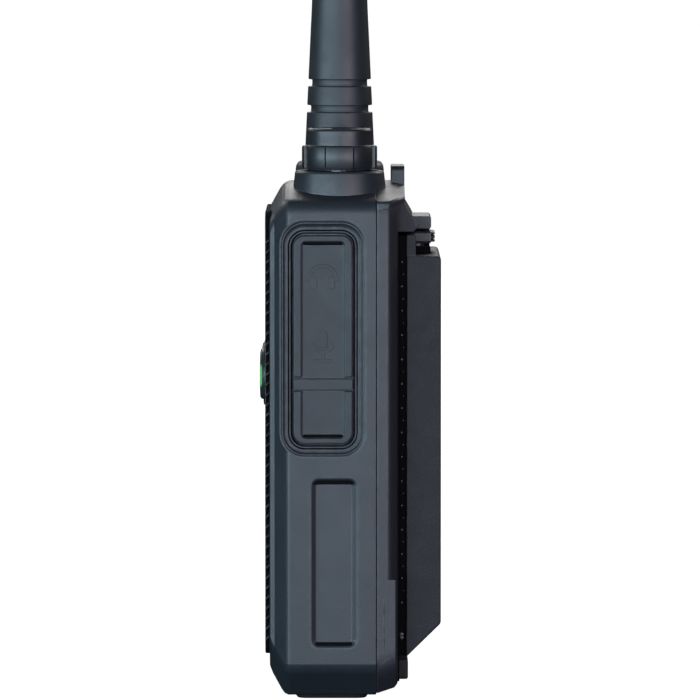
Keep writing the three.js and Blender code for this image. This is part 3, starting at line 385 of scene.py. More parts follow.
gold_brass = moulded("gold_brass", (0.72, 0.50, 0.20), (0.80, 0.58, 0.26), 0.24, grain=0.3, bump=0.06,
                     metallic=1.0, worn=(0.9, 0.7, 0.4))
dark_lens = moulded("dark_lens", (0.004, 0.005, 0.006), (0.006, 0.007, 0.008), 0.12, grain=0.2, bump=0.02,
                    wear=0.1, dust=0.05, coat=0.6)
screen_ink = moulded("screen_ink", (0.10, 0.13, 0.12), (0.13, 0.16, 0.15), 0.25, grain=0.2, bump=0.02,
                     wear=0.0)
shell_grey = moulded("shell_grey", (0.014, 0.014, 0.018), (0.017, 0.017, 0.021), 0.44, grain=0.28, bump=0.22)
# Lighter grey than the battery's plastic: a painted glint on the channel's small studs.
stud_glint_plastic = moulded("stud_glint_plastic", (0.05, 0.05, 0.055), (0.06, 0.06, 0.065), 0.25, grain=0.2, bump=0.05)
slot_shadow = moulded("slot_shadow", (0.001, 0.001, 0.0015), (0.002, 0.002, 0.002), 0.9, grain=0.3,
                      specular=0.1, wear=0.0)
steel_cloth = moulded("steel_cloth", (0.03, 0.03, 0.032), (0.05, 0.05, 0.052), 0.4, grain=0.2, metallic=0.8)
cell_film = moulded("cell_film", (0.03, 0.09, 0.24), (0.04, 0.12, 0.3), 0.35, grain=0.6, coat=0.5)
print("finishes:", len([m for m in bpy.data.materials if m.users or m.use_nodes]))

# %% [markdown]
# ## Shaping tools
# Almost every piece of a radio is a moulded plate or a turned part. Three helpers make them: `stack`
# lays one outline over itself, a little larger or smaller at each level, which gives true rounded
# edges; `plate` does the same for an outline with holes; and `lathe` turns a profile round an axis.
# Booleans and bevel modifiers could do it too, but they leave uneven corners that show in a highlight.


# %% Outlines
def arc(u, v, radius, start, end, steps):
    angles = [math.radians(start + (end - start) * i / steps) for i in range(steps + 1)]
    return [(u + radius * math.cos(a), v + radius * math.sin(a)) for a in angles]


def round_rect(u0, u1, v0, v1, radius, steps=8):
    """A rectangle with round corners, anticlockwise, with the same number of points for any size."""
    r = max(0.02, min(radius, (u1 - u0) / 2 - 0.01, (v1 - v0) / 2 - 0.01))
    return (arc(u1 - r, v0 + r, r, -90, 0, steps) + arc(u1 - r, v1 - r, r, 0, 90, steps)
            + arc(u0 + r, v1 - r, r, 90, 180, steps) + arc(u0 + r, v0 + r, r, 180, 270, steps))


def grown_rect(u0, u1, v0, v1, radius, steps=8):
    """A function of growth, for stack: the rectangle with every side moved outwards by that much."""
    return lambda grow: round_rect(u0 - grow, u1 + grow, v0 - grow, v1 + grow, radius + grow, steps)


def bend(start, control, end, steps):
    points = []
    for i in range(steps + 1):
        t = i / steps
        points.append(tuple((1 - t) ** 2 * a + 2 * t * (1 - t) * b + t * t * c
                            for a, b, c in zip(start, control, end)))
    return points


def signed_area(loop):
    return sum(a[0] * b[1] - b[0] * a[1] for a, b in zip(loop, loop[1:] + loop[:1])) / 2


def offset(loop, distance):
    """The loop moved to its left by distance at every point, mitred at the corners."""
    shifted = []
    count = len(loop)
    for i, (u, v) in enumerate(loop):
        before = Vector((u - loop[i - 1][0], v - loop[i - 1][1])).normalized()
        after = Vector((loop[(i + 1) % count][0] - u, loop[(i + 1) % count][1] - v)).normalized()
        normal = Vector((-before.y - after.y, before.x + after.x))
        normal = normal / max(normal.length_squared / 2, 0.5)
        shifted.append((u + normal.x * distance, v + normal.y * distance))
    return shifted


# %% Solids from outlines
def towards_x(side):
    """Places an outline drawn in (y, z) at side * level along X."""
    return lambda u, v, level: (side * level, u, v)


def towards_y(u, v, level):
    return (u, level, v)


def towards_z(u, v, level):
    return (u, v, level)


def loft(rings, closed=True):
    count = len(rings[0])
    points = [p for ring in rings for p in ring]
    faces = []
    for r in range(len(rings) - 1):
        for i in range(count):
            j = (i + 1) % count
            faces.append((r * count + i, r * count + j, (r + 1) * count + j, (r + 1) * count + i))
    if closed:
        faces.append(tuple(range(count))[::-1])
        faces.append(tuple(range((len(rings) - 1) * count, len(rings) * count)))
    return points, faces


def stack(shape, levels, place):
    """A closed solid through shape(grow) at each (grow, level)."""
    return loft([[place(u, v, level) for u, v in shape(grow)] for grow, level in levels])


def rounded_levels(face, back, radius, steps=4):
    """Levels from a rounded front face to the back; face and back are places along the axis."""
    way = 1 if back > face else -1
    turn = [math.radians(90 * i / steps) for i in range(steps + 1)]
    front = [(-radius * (1 - math.sin(a)), face + way * radius * (1 - math.cos(a))) for a in turn]
    return front + [(0, back)]


def plate(loops, levels, place):
    """A solid with holes. loops: the rim, then the holes; levels as for stack."""
    loops = [loop if (signed_area(loop) > 0) == (i == 0) else loop[::-1] for i, loop in enumerate(loops)]
    points, faces = [], []
    for loop in loops:
        rings = [[place(u, v, level) for u, v in offset(loop, -grow)] for grow, level in levels]
        wall_points, wall_faces = loft(rings, closed=False)
        faces += [tuple(i + len(points) for i in face) for face in wall_faces]
        points += wall_points
    for end in (0, len(levels) - 1):
        flat, index, start = [], [], 0
        for loop in loops:
            flat.append([Vector((u, v, 0)) for u, v in offset(loop, -levels[end][0])])
            index += [start + end * len(loop) + i for i in range(len(loop))]
            start += len(loop) * len(levels)
        faces += [tuple(index[i] for i in triangle) for triangle in tessellate_polygon(flat)]
    return points, faces


def lathe(profile, x, y, steps=96, radius_at=None):
    """Turns (radius, z) points round a vertical axis. radius_at(radius, z, angle) may shape the rim."""
    rings = []
    for radius, z in profile:
        ring = []
        for i in range(steps):
            angle = 2 * math.pi * i / steps
            r = radius_at(radius, z, angle) if radius_at else radius
            ring.append((x + r * math.cos(angle), y + r * math.sin(angle), z))
        rings.append(ring)
    return loft(rings)


def turned_ring(profile, x, y, steps=96):
    """Turns a closed (radius, z) profile that stays clear of the axis."""
    angles = [2 * math.pi * i / steps for i in range(steps)]
    return loft([[(x + radius * math.cos(a), y + radius * math.sin(a), z) for a in angles]
                 for radius, z in [*profile, profile[0]]], closed=False)


def rod(side, y, z, radius, near, far, steps=24):
    """A round bar along X, from near to far of the middle plane."""
    angles = [2 * math.pi * i / steps for i in range(steps)]
    return loft([[(side * x, y + radius * math.cos(a), z + radius * math.sin(a)) for a in angles]
                 for x in (near, far)])


# %% Making and finishing a piece
def build_mesh(name, parts):
    points, faces = [], []
    for part_points, part_faces in parts:
        start = len(points)
        points += [Vector(p) * MM for p in part_points]
        faces += [tuple(i + start for i in face) for face in part_faces]
    mesh = bpy.data.meshes.new(name)
    mesh.from_pydata(points, [], faces)
    shape = bmesh.new()
    shape.from_mesh(mesh)
    bmesh.ops.remove_doubles(shape, verts=shape.verts, dist=1e-7)
    bmesh.ops.recalc_face_normals(shape, faces=shape.faces)
    shape.to_mesh(mesh)
    shape.free()
    return mesh


def shade(mesh, angle=32):
    mesh.polygons.foreach_set("use_smooth", [True] * len(mesh.polygons))
    mesh.set_sharp_from_angle(angle=math.radians(angle))


def make_piece(name, parts, material, body, replaces=(), angle=32):
    """One finished object from closed shells in millimetres, riding on a body of the frame."""
    mesh = build_mesh(name, parts)
    mesh.materials.append(material)
    shade(mesh, angle)
    piece = bpy.data.objects.new(name, mesh)
    bpy.context.collection.objects.link(piece)
    weights = piece.modifiers.new("even_shading", "WEIGHTED_NORMAL")
    weights.keep_sharp = True
    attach(piece, body)
    if replaces:
        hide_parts(*replaces)
    return piece


def carve(name, base, cutters):
    """The base parts less each cutter, by exact booleans; gives a mesh part again."""
    solid = bpy.data.objects.new(name, build_mesh(name, base))
    bpy.context.collection.objects.link(solid)
    tools = []
    for number, cutter in enumerate(cutters):
        tool = bpy.data.objects.new(f"{name}_tool_{number}", build_mesh(f"{name}_tool_{number}", [cutter]))
        bpy.context.collection.objects.link(tool)
        step = solid.modifiers.new(f"cut_{number}", "BOOLEAN")
        step.operation = "DIFFERENCE"
        step.solver = "EXACT"
        step.object = tool
        tools.append(tool)
    bpy.context.view_layer.update()
    done = solid.evaluated_get(bpy.context.evaluated_depsgraph_get()).to_mesh()
    points = [tuple(v.co / MM) for v in done.vertices]
    faces = [tuple(p.vertices) for p in done.polygons]
    for thing in [solid, *tools]:
        mesh = thing.data
        bpy.data.objects.remove(thing)
        bpy.data.meshes.remove(mesh)
    return points, faces


print("shaping tools ready")

# %% [markdown]
# ## The housing's outline
# The front shell, the rear cap and the battery's flange share one outline: flat sides, an arched top
# and rounded lower corners. It is drawn once, seen from the front, and each piece is a loft of that
# outline moved inwards wherever the real surface turns away.


# %% The outline seen from the front
SHOULDER = 3.2


def crown_height(x, inset):
    return TOP - CROWN_RADIUS + math.sqrt((CROWN_RADIUS - inset) ** 2 - x * x)


def housing_outline(side_inset=0.0, top_inset=0.0, foot_inset=0.0, shoulder=SHOULDER, drop=3.8):
    """The closed outline in (x, z), moved in by three amounts; always the same number of points."""
    side = HALF - side_inset
    low = BOTTOM + foot_inset
    shoulder_x = side - shoulder
    shoulder_z = crown_height(shoulder_x, top_inset)
    half = [(0.0, low), (side - 14, low)]
    half += bend((side - 8.8, low), (side - 7.6, low), (side - 7.0, low + 0.5), 4)
    half += bend((side - 1.4, low + 5.2), (side - 0.3, low + 6.2), (side, low + 7.6), 8)
    half += [(side, 0.75 * low + 0.25 * shoulder_z), (side, 0.4 * low + 0.6 * shoulder_z)]
    half += bend((side, shoulder_z - drop), (side, shoulder_z - 0.13 * drop), (shoulder_x, shoulder_z), 10)
    half += [(shoulder_x * (1 - i / 14), crown_height(shoulder_x * (1 - i / 14), top_inset))
             for i in range(1, 15)]
    return half + [(-x, z) for x, z in half[-2:0:-1]]


def interpolate(points, y):
    """The value at y on a curve of (y, value) points that run in y."""
    for (y0, a), (y1, b) in zip(points, points[1:]):
        if y <= y1:
            return a + (b - a) * max(0.0, y - y0) / (y1 - y0)
    return points[-1][1]


side_turn = [(FRONT, 4.6), (FRONT + 0.06, 4.25), (FRONT + 0.2, 3.98), (FRONT + 0.42, 3.86),
             (FRONT + 0.95, 3.78), (FRONT + 1.15, 3.66), (FRONT + 1.32, 3.38), (FRONT + 3.7, 0.42),
             (FRONT + 4.05, 0.14), (FRONT + 4.5, 0.0)]
top_turn = [(FRONT, 5.9), (FRONT + 0.25, 5.1), (FRONT + 2.1, 1.75), (FRONT + 2.7, 0.95), (FRONT + 3.4, 0.4),
            (FRONT + 4.3, 0.08), (FRONT + 5.2, 0.0)]
foot_turn = [(FRONT, 6.0), (FRONT + 0.7, 4.25), (FRONT + 1.7, 2.55), (FRONT + 2.75, 0.85),
             (FRONT + 3.3, 0.25), (FRONT + 4.0, 0.0)]
print("outline points:", len(housing_outline()))

# %% [markdown]
# ## Front shell
# The shell is a loft from the seam to the front plane. On both flat sides it carries a pocket with a
# stepped rim: rubber covers sit in one and the talk button in the other. The pockets and the long
# finger recesses are cut through the loft, and lofted inserts with soft lips are set into the cuts.


# %% Shell skin
flap_low, flap_high = node_box("jack_flap_upper")
lower_low, lower_high = node_box("jack_flap_lower")
POCKET = (flap_low.y - 0.5, flap_high.y + 0.5, lower_low.z - 0.5, flap_high.z + 0.5)
POCKET_RADIUS = 2.9
POCKET_FLOOR = HALF - 2.4


def pocket_shape(grow):
    """The pocket's outline; the outer rim is a little taller above than it is wide at the sides."""
    y0, y1, z0, z1 = POCKET
    above = 0.25 * max(0.0, grow - 0.7)
    return round_rect(y0 - grow, y1 + grow, z0 - grow, z1 + grow + above, POCKET_RADIUS + grow, 10)


RIM_GROW = 2.25                     # the outermost line of the stepped rim
GRIP = (-8.5, 1.2, 12.0, 48.3)
grip_shape = grown_rect(*GRIP, 1.6, 8)
STEM_X = 14.0
knob_low, knob_high = node_box("volume_knob")
STEM_Y = (knob_low.y + knob_high.y) / 2


def shell_ring(y, inset=0.0):
    outline = housing_outline(interpolate(side_turn, y - inset) + inset,
                              interpolate(top_turn, y - inset) + inset,
                              interpolate(foot_turn, y - inset) + inset)
    return [towards_y(x, z, y) for x, z in outline]


def shell_skin():
    steps = sorted({round(y, 3) for turn in (side_turn, top_turn, foot_turn) for y, _ in turn})
    steps += [FRONT + 9, SEAM - 8, SEAM - 0.35]
    rings = [shell_ring(y) for y in steps]
    for inset, y in ((0.03, SEAM - 0.2), (0.12, SEAM - 0.07), (0.28, SEAM)):
        rings.append([towards_y(x, z, y) for x, z in housing_outline(inset, inset, inset)])
    rings.append([towards_y(x, z, SEAM) for x, z in housing_outline(WALL, WALL, WALL)])
    rings += [shell_ring(y, WALL) for y in (SEAM - 8, FRONT + WALL + 4.3, FRONT + WALL + 1.5, FRONT + WALL)]
    return loft(rings)


def side_cutter(shape, grow, side):
    return stack(shape, [(grow, HALF - WALL - 3), (grow, HALF + 3)], towards_x(side))


def front_cutter(u0, u1, v0, v1, radius):
    return stack(grown_rect(u0, u1, v0, v1, radius), [(0, FRONT - 2), (0, FRONT + WALL + 1)], towards_y)


def pocket_insert(side):
    """The stepped rim, the groove and ridge round the pocket, and the pocket's wall."""
    face = HALF - 0.005
    step = HALF - 0.55
    levels = [(RIM_GROW + 0.3, HALF - 1.9), (RIM_GROW + 0.3, face - 0.05), (RIM_GROW + 0.24, face),
              (RIM_GROW, face), (RIM_GROW - 0.12, face - 0.05), (RIM_GROW - 0.3, face - 0.22),
              (RIM_GROW - 0.45, face - 0.22), (RIM_GROW - 0.62, face - 0.4), (1.35, step - 0.1),
              (1.22, step - 0.12), (1.12, step), (0.78, step), (0.68, step - 0.08), (0.62, step - 0.42),
              (0.48, step - 0.5), (0.42, step - 0.14), (0.36, step - 0.03), (0.2, step - 0.03),
              (0.1, step - 0.12), (0.02, step - 0.4), (0.0, POCKET_FLOOR + 0.3), (-0.3, POCKET_FLOOR)]
    levels.append((-0.3, POCKET_FLOOR - 1.5))
    return loft([[towards_x(side)(u, v, level) for u, v in pocket_shape(grow)] for grow, level in levels],
                closed=False)


def pocket_shade_ring(side):
    """A black ring at the foot of the rim's inner groove: painted shade in the groove."""
    return plate([pocket_shape(0.86), pocket_shape(0.42)], [(0, HALF - 1.4), (0, HALF - 0.72)],
                 towards_x(side))


def grip_insert(side):
    deep = HALF - 0.9
    levels = [(0.5, HALF - 1.8), (0.5, HALF - 0.05), (0.46, HALF - 0.005), (0.2, HALF - 0.005),
              (0.05, HALF - 0.04), (-0.15, HALF - 0.16), (-0.85, deep + 0.12), (-1.05, deep + 0.03),
              (-1.25, deep)]
    return stack(grip_shape, levels, towards_x(side))


def pocket_floor(side, holes):
    """The floor of the pocket, with its holes, set into the insert's wall."""
    rim = pocket_shape(-0.1)
    return plate([rim, *holes], [(0, POCKET_FLOOR + 0.01), (0, POCKET_FLOOR - 1.6)], towards_x(side))


def collar(x):
    """A raised round collar with a soft lip and a sunken seat for the knob or the antenna."""
    foot = TOP - 3.0
    profile = [(8.4, foot), (10.02, foot), (9.98, TOP - 0.6), (9.72, COLLAR_TOP - 1.0),
               *[(9.02 + r, z) for r, z in arc(0, COLLAR_TOP - 0.68, 0.68, 0, 90, 6)],
               (8.75, COLLAR_TOP - 0.04), (8.62, COLLAR_TOP - 0.2), (8.55, COLLAR_TOP - 0.7),
               (5.5, COLLAR_TOP - 0.8), (5.3, COLLAR_TOP - 1.0), (5.3, foot)]
    return turned_ring(profile, x, STEM_Y)


def circle(u, v, radius, steps=48):
    return arc(u, v, radius, 0, 360 * (steps - 1) / steps, steps - 1)


def top_cutter(x, radius):
    return stack(lambda grow: circle(x, STEM_Y, radius), [(0, TOP - 8), (0, TOP + 5)], towards_z)


jack_low, jack_high = node_box("jack_block")
usb_low, usb_high = node_box("usb_port")
strap_low, strap_high = node_box("cover_strap")
JACK_Y = (usb_low.y + usb_high.y) / 2
PHONE_Z, MIC_Z = jack_high.z - 5, jack_low.z + 5
keys_low = node_box("key_star")[0]
keys_high = node_box("key_3")[1]
nav_low, nav_high = node_box("nav_bezel")
lens_low, lens_high = node_box("display_lens")
SLOT_COUNT, SLOT_PITCH, SLOT_HEIGHT = 8, 2.3, 1.1
GRILLE_FOOT, GRILLE_HALF = 12.2, 15.5
GRILLE_Z = (GRILLE_FOOT, GRILLE_FOOT + (SLOT_COUNT - 1) * SLOT_PITCH + SLOT_HEIGHT)
BORE = 5.3

skin = carve("shell_skin", [shell_skin()], [
    side_cutter(pocket_shape, RIM_GROW + 0.2, 1), side_cutter(pocket_shape, RIM_GROW + 0.2, -1),
    side_cutter(grip_shape, 0.4, 1), side_cutter(grip_shape, 0.4, -1),
    front_cutter(keys_low.x - 0.6, -keys_low.x + 0.6, keys_low.z - 0.6, keys_high.z + 0.6, 1.5),
    front_cutter(nav_low.x + 1.2, nav_high.x - 1.2, nav_low.z + 1.2, nav_high.z - 1.2, 5.4),
    front_cutter(lens_low.x - 0.6, lens_high.x + 0.6, lens_low.z - 0.6, lens_high.z + 0.6, 2.2),
    front_cutter(-GRILLE_HALF, GRILLE_HALF, *GRILLE_Z, 4),
    top_cutter(STEM_X, BORE), top_cutter(-STEM_X, BORE), top_cutter(0, 1.5)])
jack_holes = [circle(JACK_Y, PHONE_Z, 3.5), circle(JACK_Y, MIC_Z, 3.5),
              round_rect(usb_low.y - 0.3, usb_high.y + 0.3, usb_low.z - 0.3, usb_high.z + 0.3, 1.9),
              round_rect(JACK_Y - 2.4, JACK_Y + 2.4, strap_low.z + 0.2, strap_high.z - 0.2, 0.2)]
button_z = [sum(c.z for c in node_box(n)) / 2 for n in ("ptt_button", "side_key_upper", "side_key_lower")]
button_holes = [circle(JACK_Y, z, 1.8, 32) for z in button_z]
shell = make_piece(
    "front_shell_skin",
    [skin, pocket_insert(1), pocket_insert(-1), pocket_floor(1, jack_holes), pocket_floor(-1, button_holes),
     grip_insert(1), grip_insert(-1), collar(STEM_X), collar(-STEM_X)],
    body_plastic, "radio_body", ["front_shell"])
print("front shell:", len(shell.data.polygons), "faces")

# %% Painted shade: black pieces in the pockets' grooves and at the grip recesses' ends
# Black blocks at the top and bottom ends of each grip recess: painted shade in the recess.
grip_end_shades = [stack(grown_rect(y0, y1, z0, z1, 0.3, 4),
                   [(0, HALF - 1.3), (0, HALF - 0.34), (-0.12, HALF - 0.24)], towards_x(side))
             for side in (1, -1)
             for y0, y1, z0, z1 in ((-8.2, 0.6, GRIP[3] - 1.15, GRIP[3] - 0.15),
                                    (-7.6, 0.2, GRIP[2] + 0.2, GRIP[2] + 1.0))]
make_piece("pocket_shades", [pocket_shade_ring(1), pocket_shade_ring(-1), *grip_end_shades], slot_shadow,
           "radio_body", ["front_shell"])
print("dark seals made")

# %% [markdown]
# ## Knob, antenna and the small light
# Round pieces are turned. The knob's skirt is not quite round: four pads stand out from it with a thin
# groove beside each, so the lathe moves those points in or out by their angle. Modelling the pads as
# separate blocks would need booleans at every edge.


# %% Volume knob
KNOB_STEPS = 288                    # a multiple of 16, so that the pads' edges fall on a point
KNOB_FOOT = knob_low.z + 0.02


def knob_radius(radius, z, angle):
    """Pads on the skirt at every quarter turn, with a groove at each edge."""
    if radius < 7.2 or z > KNOB_FOOT + 4.95:
        return radius
    from_pad = abs((math.degrees(angle) + 45) % 90 - 45)
    if abs(from_pad - 22.5) < 1.3:
        return radius - 0.35
    return radius + 0.5 if from_pad < 22.5 else radius


knob_profile = [(0.0, KNOB_FOOT - 0.32), (6.9, KNOB_FOOT - 0.32), (7.0, KNOB_FOOT), (7.3, KNOB_FOOT),
                (7.5, KNOB_FOOT + 0.1), (7.62, KNOB_FOOT + 0.35),
                (7.66, KNOB_FOOT + 2.4), (7.66, KNOB_FOOT + 4.6), (7.56, KNOB_FOOT + 4.85),
                (7.42, KNOB_FOOT + 4.95), (7.2, KNOB_FOOT + 5.0), (7.12, KNOB_FOOT + 5.1),
                (7.1, KNOB_FOOT + 5.5), (7.0, KNOB_FOOT + 7.9)]
knob_profile += [(6.4 + r, KNOB_FOOT + 8.1 + h) for r, h in arc(0, 0, 0.6, 0, 90, 5)]
knob_profile += [(5.4, KNOB_FOOT + 8.7), (5.2, KNOB_FOOT + 8.62), (5.1, KNOB_FOOT + 8.45),
                 (0.0, KNOB_FOOT + 8.4)]
knob_turn = lathe(knob_profile, STEM_X, STEM_Y, KNOB_STEPS, knob_radius)
pointer = stack(grown_rect(STEM_X - 0.45, STEM_X + 0.45, STEM_Y - 4.9, STEM_Y - 1.6, 0.45),
                rounded_levels(KNOB_FOOT + 8.66, KNOB_FOOT + 8.0, 0.15), towards_z)
make_piece("volume_knob_body", [knob_turn], trim_plastic, "volume_knob", ["volume_knob"], 28)
make_piece("volume_pointer", [pointer], legend_paint, "volume_knob", ["volume_knob"])
print("knob made")

# %% Antenna
sleeve_low, sleeve_high = node_box("antenna_sleeve")
ANTENNA_X = (sleeve_low.x + sleeve_high.x) / 2


def antenna_radius(z):
    return 7.78 - 0.0465 * (z - 114.3)


def antenna_ring(z):
    """A groove 1.6 mm high with soft lips."""
    r = antenna_radius(z)
    return [(r, z - 0.12), (r - 0.1, z), (r - 0.85, z + 0.12), (r - 0.9, z + 0.3), (r - 0.92, z + 1.3),
            (r - 0.88, z + 1.48), (r - 0.18, z + 1.6), (r - 0.08, z + 1.74)]


foot_z = sleeve_low.z
antenna_profile = [(0.0, foot_z - 0.3), (6.9, foot_z - 0.3), (7.0, foot_z), (7.3, foot_z + 0.12),
                   (7.5, foot_z + 0.5), (7.6, foot_z + 2.2)]
antenna_profile += [(antenna_radius(z), z) for z in (119.5, 123.0)]
antenna_profile += antenna_ring(126.1) + [(antenna_radius(129.8), 129.8)] + antenna_ring(131.8)
antenna_profile += [(antenna_radius(z), z) for z in (138, 148)]
antenna_profile += [(5.75, 160), (4.9, 176), (4.5, 200), (4.1, 225)]
antenna_profile += [(r, sleeve_high.z - 3.7 + h) for r, h in arc(0, 0, 3.68, 0, 84, 8)]
antenna_profile += [(0.0, sleeve_high.z - 0.02)]
make_piece("antenna_cover", [lathe(antenna_profile, ANTENNA_X, STEM_Y, 128)], antenna_rubber,
           "antenna", ["antenna_sleeve"], 40)
# A black ring in the gap between each collar and the knob or antenna: painted shade, which also hides the
# bright metal inside the gap.
gap_shade_profile = [(5.45, 113.4), (8.5, 113.4), (8.5, 114.2), (5.45, 114.26)]
gap_shade_rings = [turned_ring(gap_shade_profile, x, STEM_Y, 64) for x in (STEM_X, ANTENNA_X)]
make_piece("collar_gap_shades", gap_shade_rings, slot_shadow, "radio_body", ["front_shell"], 40)
guard_profile = [(8.15, 113.6), (8.15, 114.9), (8.3, 115.25), (8.6, 115.4), (9.0, 115.25), (9.4, 114.8),
                 (9.62, 114.3), (9.7, 113.6)]
guard_ring = turned_ring(guard_profile, ANTENNA_X, STEM_Y)
make_piece("antenna_guard", [guard_ring], body_plastic, "radio_body", ["front_shell"], 40)
lamp_profile = [(0.0, TOP - 4.0), (1.2, TOP - 4.0), (1.2, TOP + 0.05), (1.05, TOP + 0.25), (0.7, TOP + 0.36),
                (0.0, TOP + 0.4)]
make_piece("status_light", [lathe(lamp_profile, 0, STEM_Y, 40)], dark_lens, "radio_body",
           ["status_led_lens"], 50)
print("antenna and light made")

# %% [markdown]
# ## Rows of the same thing
# Ribs along the trim, studs in the battery's channel and ridges on the buttons all repeat with one
# pitch. A small geometry node tree repeats the piece's own mesh along a line, so one tree serves them
# all and the count and the pitch stay numbers.


# %% The repeating tree
def make_row_tree():
    tree = bpy.data.node_groups.new("repeat_in_a_row", "GeometryNodeTree")
    face = tree.interface
    face.new_socket(name="Geometry", in_out="INPUT", socket_type="NodeSocketGeometry")
    face.new_socket(name="Count", in_out="INPUT", socket_type="NodeSocketInt").default_value = 8
    face.new_socket(name="Pitch", in_out="INPUT", socket_type="NodeSocketVector")
    face.new_socket(name="Material", in_out="INPUT", socket_type="NodeSocketMaterial")
    face.new_socket(name="Geometry", in_out="OUTPUT", socket_type="NodeSocketGeometry")
    given, result = tree.nodes.new("NodeGroupInput"), tree.nodes.new("NodeGroupOutput")
    line = tree.nodes.new("GeometryNodeMeshLine")
    copies = tree.nodes.new("GeometryNodeInstanceOnPoints")
    real = tree.nodes.new("GeometryNodeRealizeInstances")
    finish = tree.nodes.new("GeometryNodeSetMaterial")
    tree.links.new(given.outputs["Count"], line.inputs["Count"])
    tree.links.new(given.outputs["Pitch"], line.inputs["Offset"])
    tree.links.new(line.outputs["Mesh"], copies.inputs["Points"])
    tree.links.new(given.outputs["Geometry"], copies.inputs["Instance"])
    tree.links.new(copies.outputs["Instances"], real.inputs["Geometry"])
    tree.links.new(real.outputs["Geometry"], finish.inputs["Geometry"])
    tree.links.new(given.outputs["Material"], finish.inputs["Material"])
    tree.links.new(finish.outputs["Geometry"], result.inputs["Geometry"])
    return tree


row_tree = make_row_tree()


def row(part, count, pitch, material):
    """Repeats a mesh part; pitch is (x, y, z) in millimetres. Gives a mesh part again."""
    seed = bpy.data.objects.new("seed", build_mesh("seed", [part]))
    bpy.context.collection.objects.link(seed)
    step = seed.modifiers.new("row", "NODES")
    step.node_group = row_tree
    names = {item.name: item.identifier for item in row_tree.interface.items_tree if item.in_out == "INPUT"}
    step[names["Count"]] = count
    step[names["Pitch"]] = [c * MM for c in pitch]
    step[names["Material"]] = material
    bpy.context.view_layer.update()
    ready = seed.evaluated_get(bpy.context.evaluated_depsgraph_get())
    mesh = bpy.data.meshes.new_from_object(ready)
    points = [tuple(v.co / MM) for v in mesh.vertices]
    faces = [tuple(p.vertices) for p in mesh.polygons]
    first = seed.data
    bpy.data.objects.remove(seed)
    for old in (first, mesh):
        bpy.data.meshes.remove(old)
    return points, faces


def mirrored(part):
    points, faces = part
    return [(-x, y, z) for x, y, z in points], faces


def moved(part, x=0.0, y=0.0, z=0.0):
    points, faces = part
    return [(a + x, b + y, c + z) for a, b, c in points], faces


print("repeating tree ready")

# %% [markdown]
# ## Front trim panel
# A thin plate covers the shell's front, with openings for the display, the keys, the speaker slots and
# the microphone. Its two long edges are ribbed like a rope, which gives the fingers a hold.

# %% Panel plate
PANEL_HALF = panel_high.x
nav_shape = grown_rect(nav_low.x, nav_high.x, nav_low.z, nav_high.z, (nav_high.z - nav_low.z) / 2, 12)
panel_holes = [round_rect(lens_low.x - 0.25, lens_high.x + 0.25, lens_low.z - 0.25, lens_high.z + 0.25, 1.85),
               nav_shape(0.15)]
number_keys = ["key_1", "key_2", "key_3", "key_4", "key_5", "key_6", "key_7", "key_8", "key_9", "key_star",
               "key_0", "key_hash"]
for node in number_keys:
    low, high = node_box(node)
    panel_holes.append(round_rect(low.x - 0.28, high.x + 0.28, low.z - 0.28, high.z + 0.28, 1.35, 5))
for number in range(SLOT_COUNT):
    z = GRILLE_FOOT + SLOT_PITCH * number
    half = GRILLE_HALF - 0.8 - 3 * abs(2 * number / (SLOT_COUNT - 1) - 1) ** 3
    panel_holes.append(round_rect(-half, half, z, z + SLOT_HEIGHT, SLOT_HEIGHT / 2, 5))
mic_low, mic_high = node_box("microphone_capsule")
panel_holes.append(circle((mic_low.x + mic_high.x) / 2, (mic_low.z + mic_high.z) / 2, 0.6, 20))
panel_rim = round_rect(-PANEL_HALF + 0.7, PANEL_HALF - 0.7, panel_low.z + 0.3, panel_high.z - 0.1, 4.2, 10)
face_y, back_y = panel_low.y, panel_high.y
panel_plate = plate([panel_rim, *panel_holes],
                    [(-0.22, face_y), (-0.08, face_y + 0.06), (0, face_y + 0.22), (0, back_y + 0.3)],
                    towards_y)


def rope_rib(side):
    """One slanted rib that wraps the panel's edge."""
    outline = [(-0.55, -0.85), (0.45, 0.1), (0.45, 0.55), (-0.55, -0.35)]
    x = side * (PANEL_HALF - 0.75)
    middle_y = (face_y + back_y + 0.35) / 2
    levels = [(0.0, 0.0), (0.0, 0.6), (-0.08, 0.72), (-0.15, 0.75)]
    return stack(lambda grow: [(middle_y + u, v) for u, v in offset(outline, -grow)],
                 [(grow, abs(x) + level) for grow, level in levels], towards_x(side))


RIB_PITCH = 2.2
rib_count = int((panel_high.z - panel_low.z - 6.5) / RIB_PITCH)
ribs = [row(moved(rope_rib(side), z=panel_low.z + 4.2), rib_count, (0, 0, RIB_PITCH), trim_plastic)
        for side in (-1, 1)]
make_piece("front_trim", [panel_plate], trim_plastic, "radio_body", ["front_panel"], 26)
# A black band along the panel's edge behind the ribs: painted shade between the ribs.
rib_shade_band = plate([offset(panel_rim, -0.05), offset(panel_rim, 0.6)],
                  [(-0.1, face_y + 0.12), (0, face_y + 0.25), (0, back_y + 0.3)], towards_y)
make_piece("front_rib_shade_band", [rib_shade_band], slot_shadow, "radio_body", ["front_panel"], 26)
make_piece("front_ribs", ribs, black_plastic, "radio_body", ["front_panel"], 26)
print("panel with", rib_count, "ribs a side")

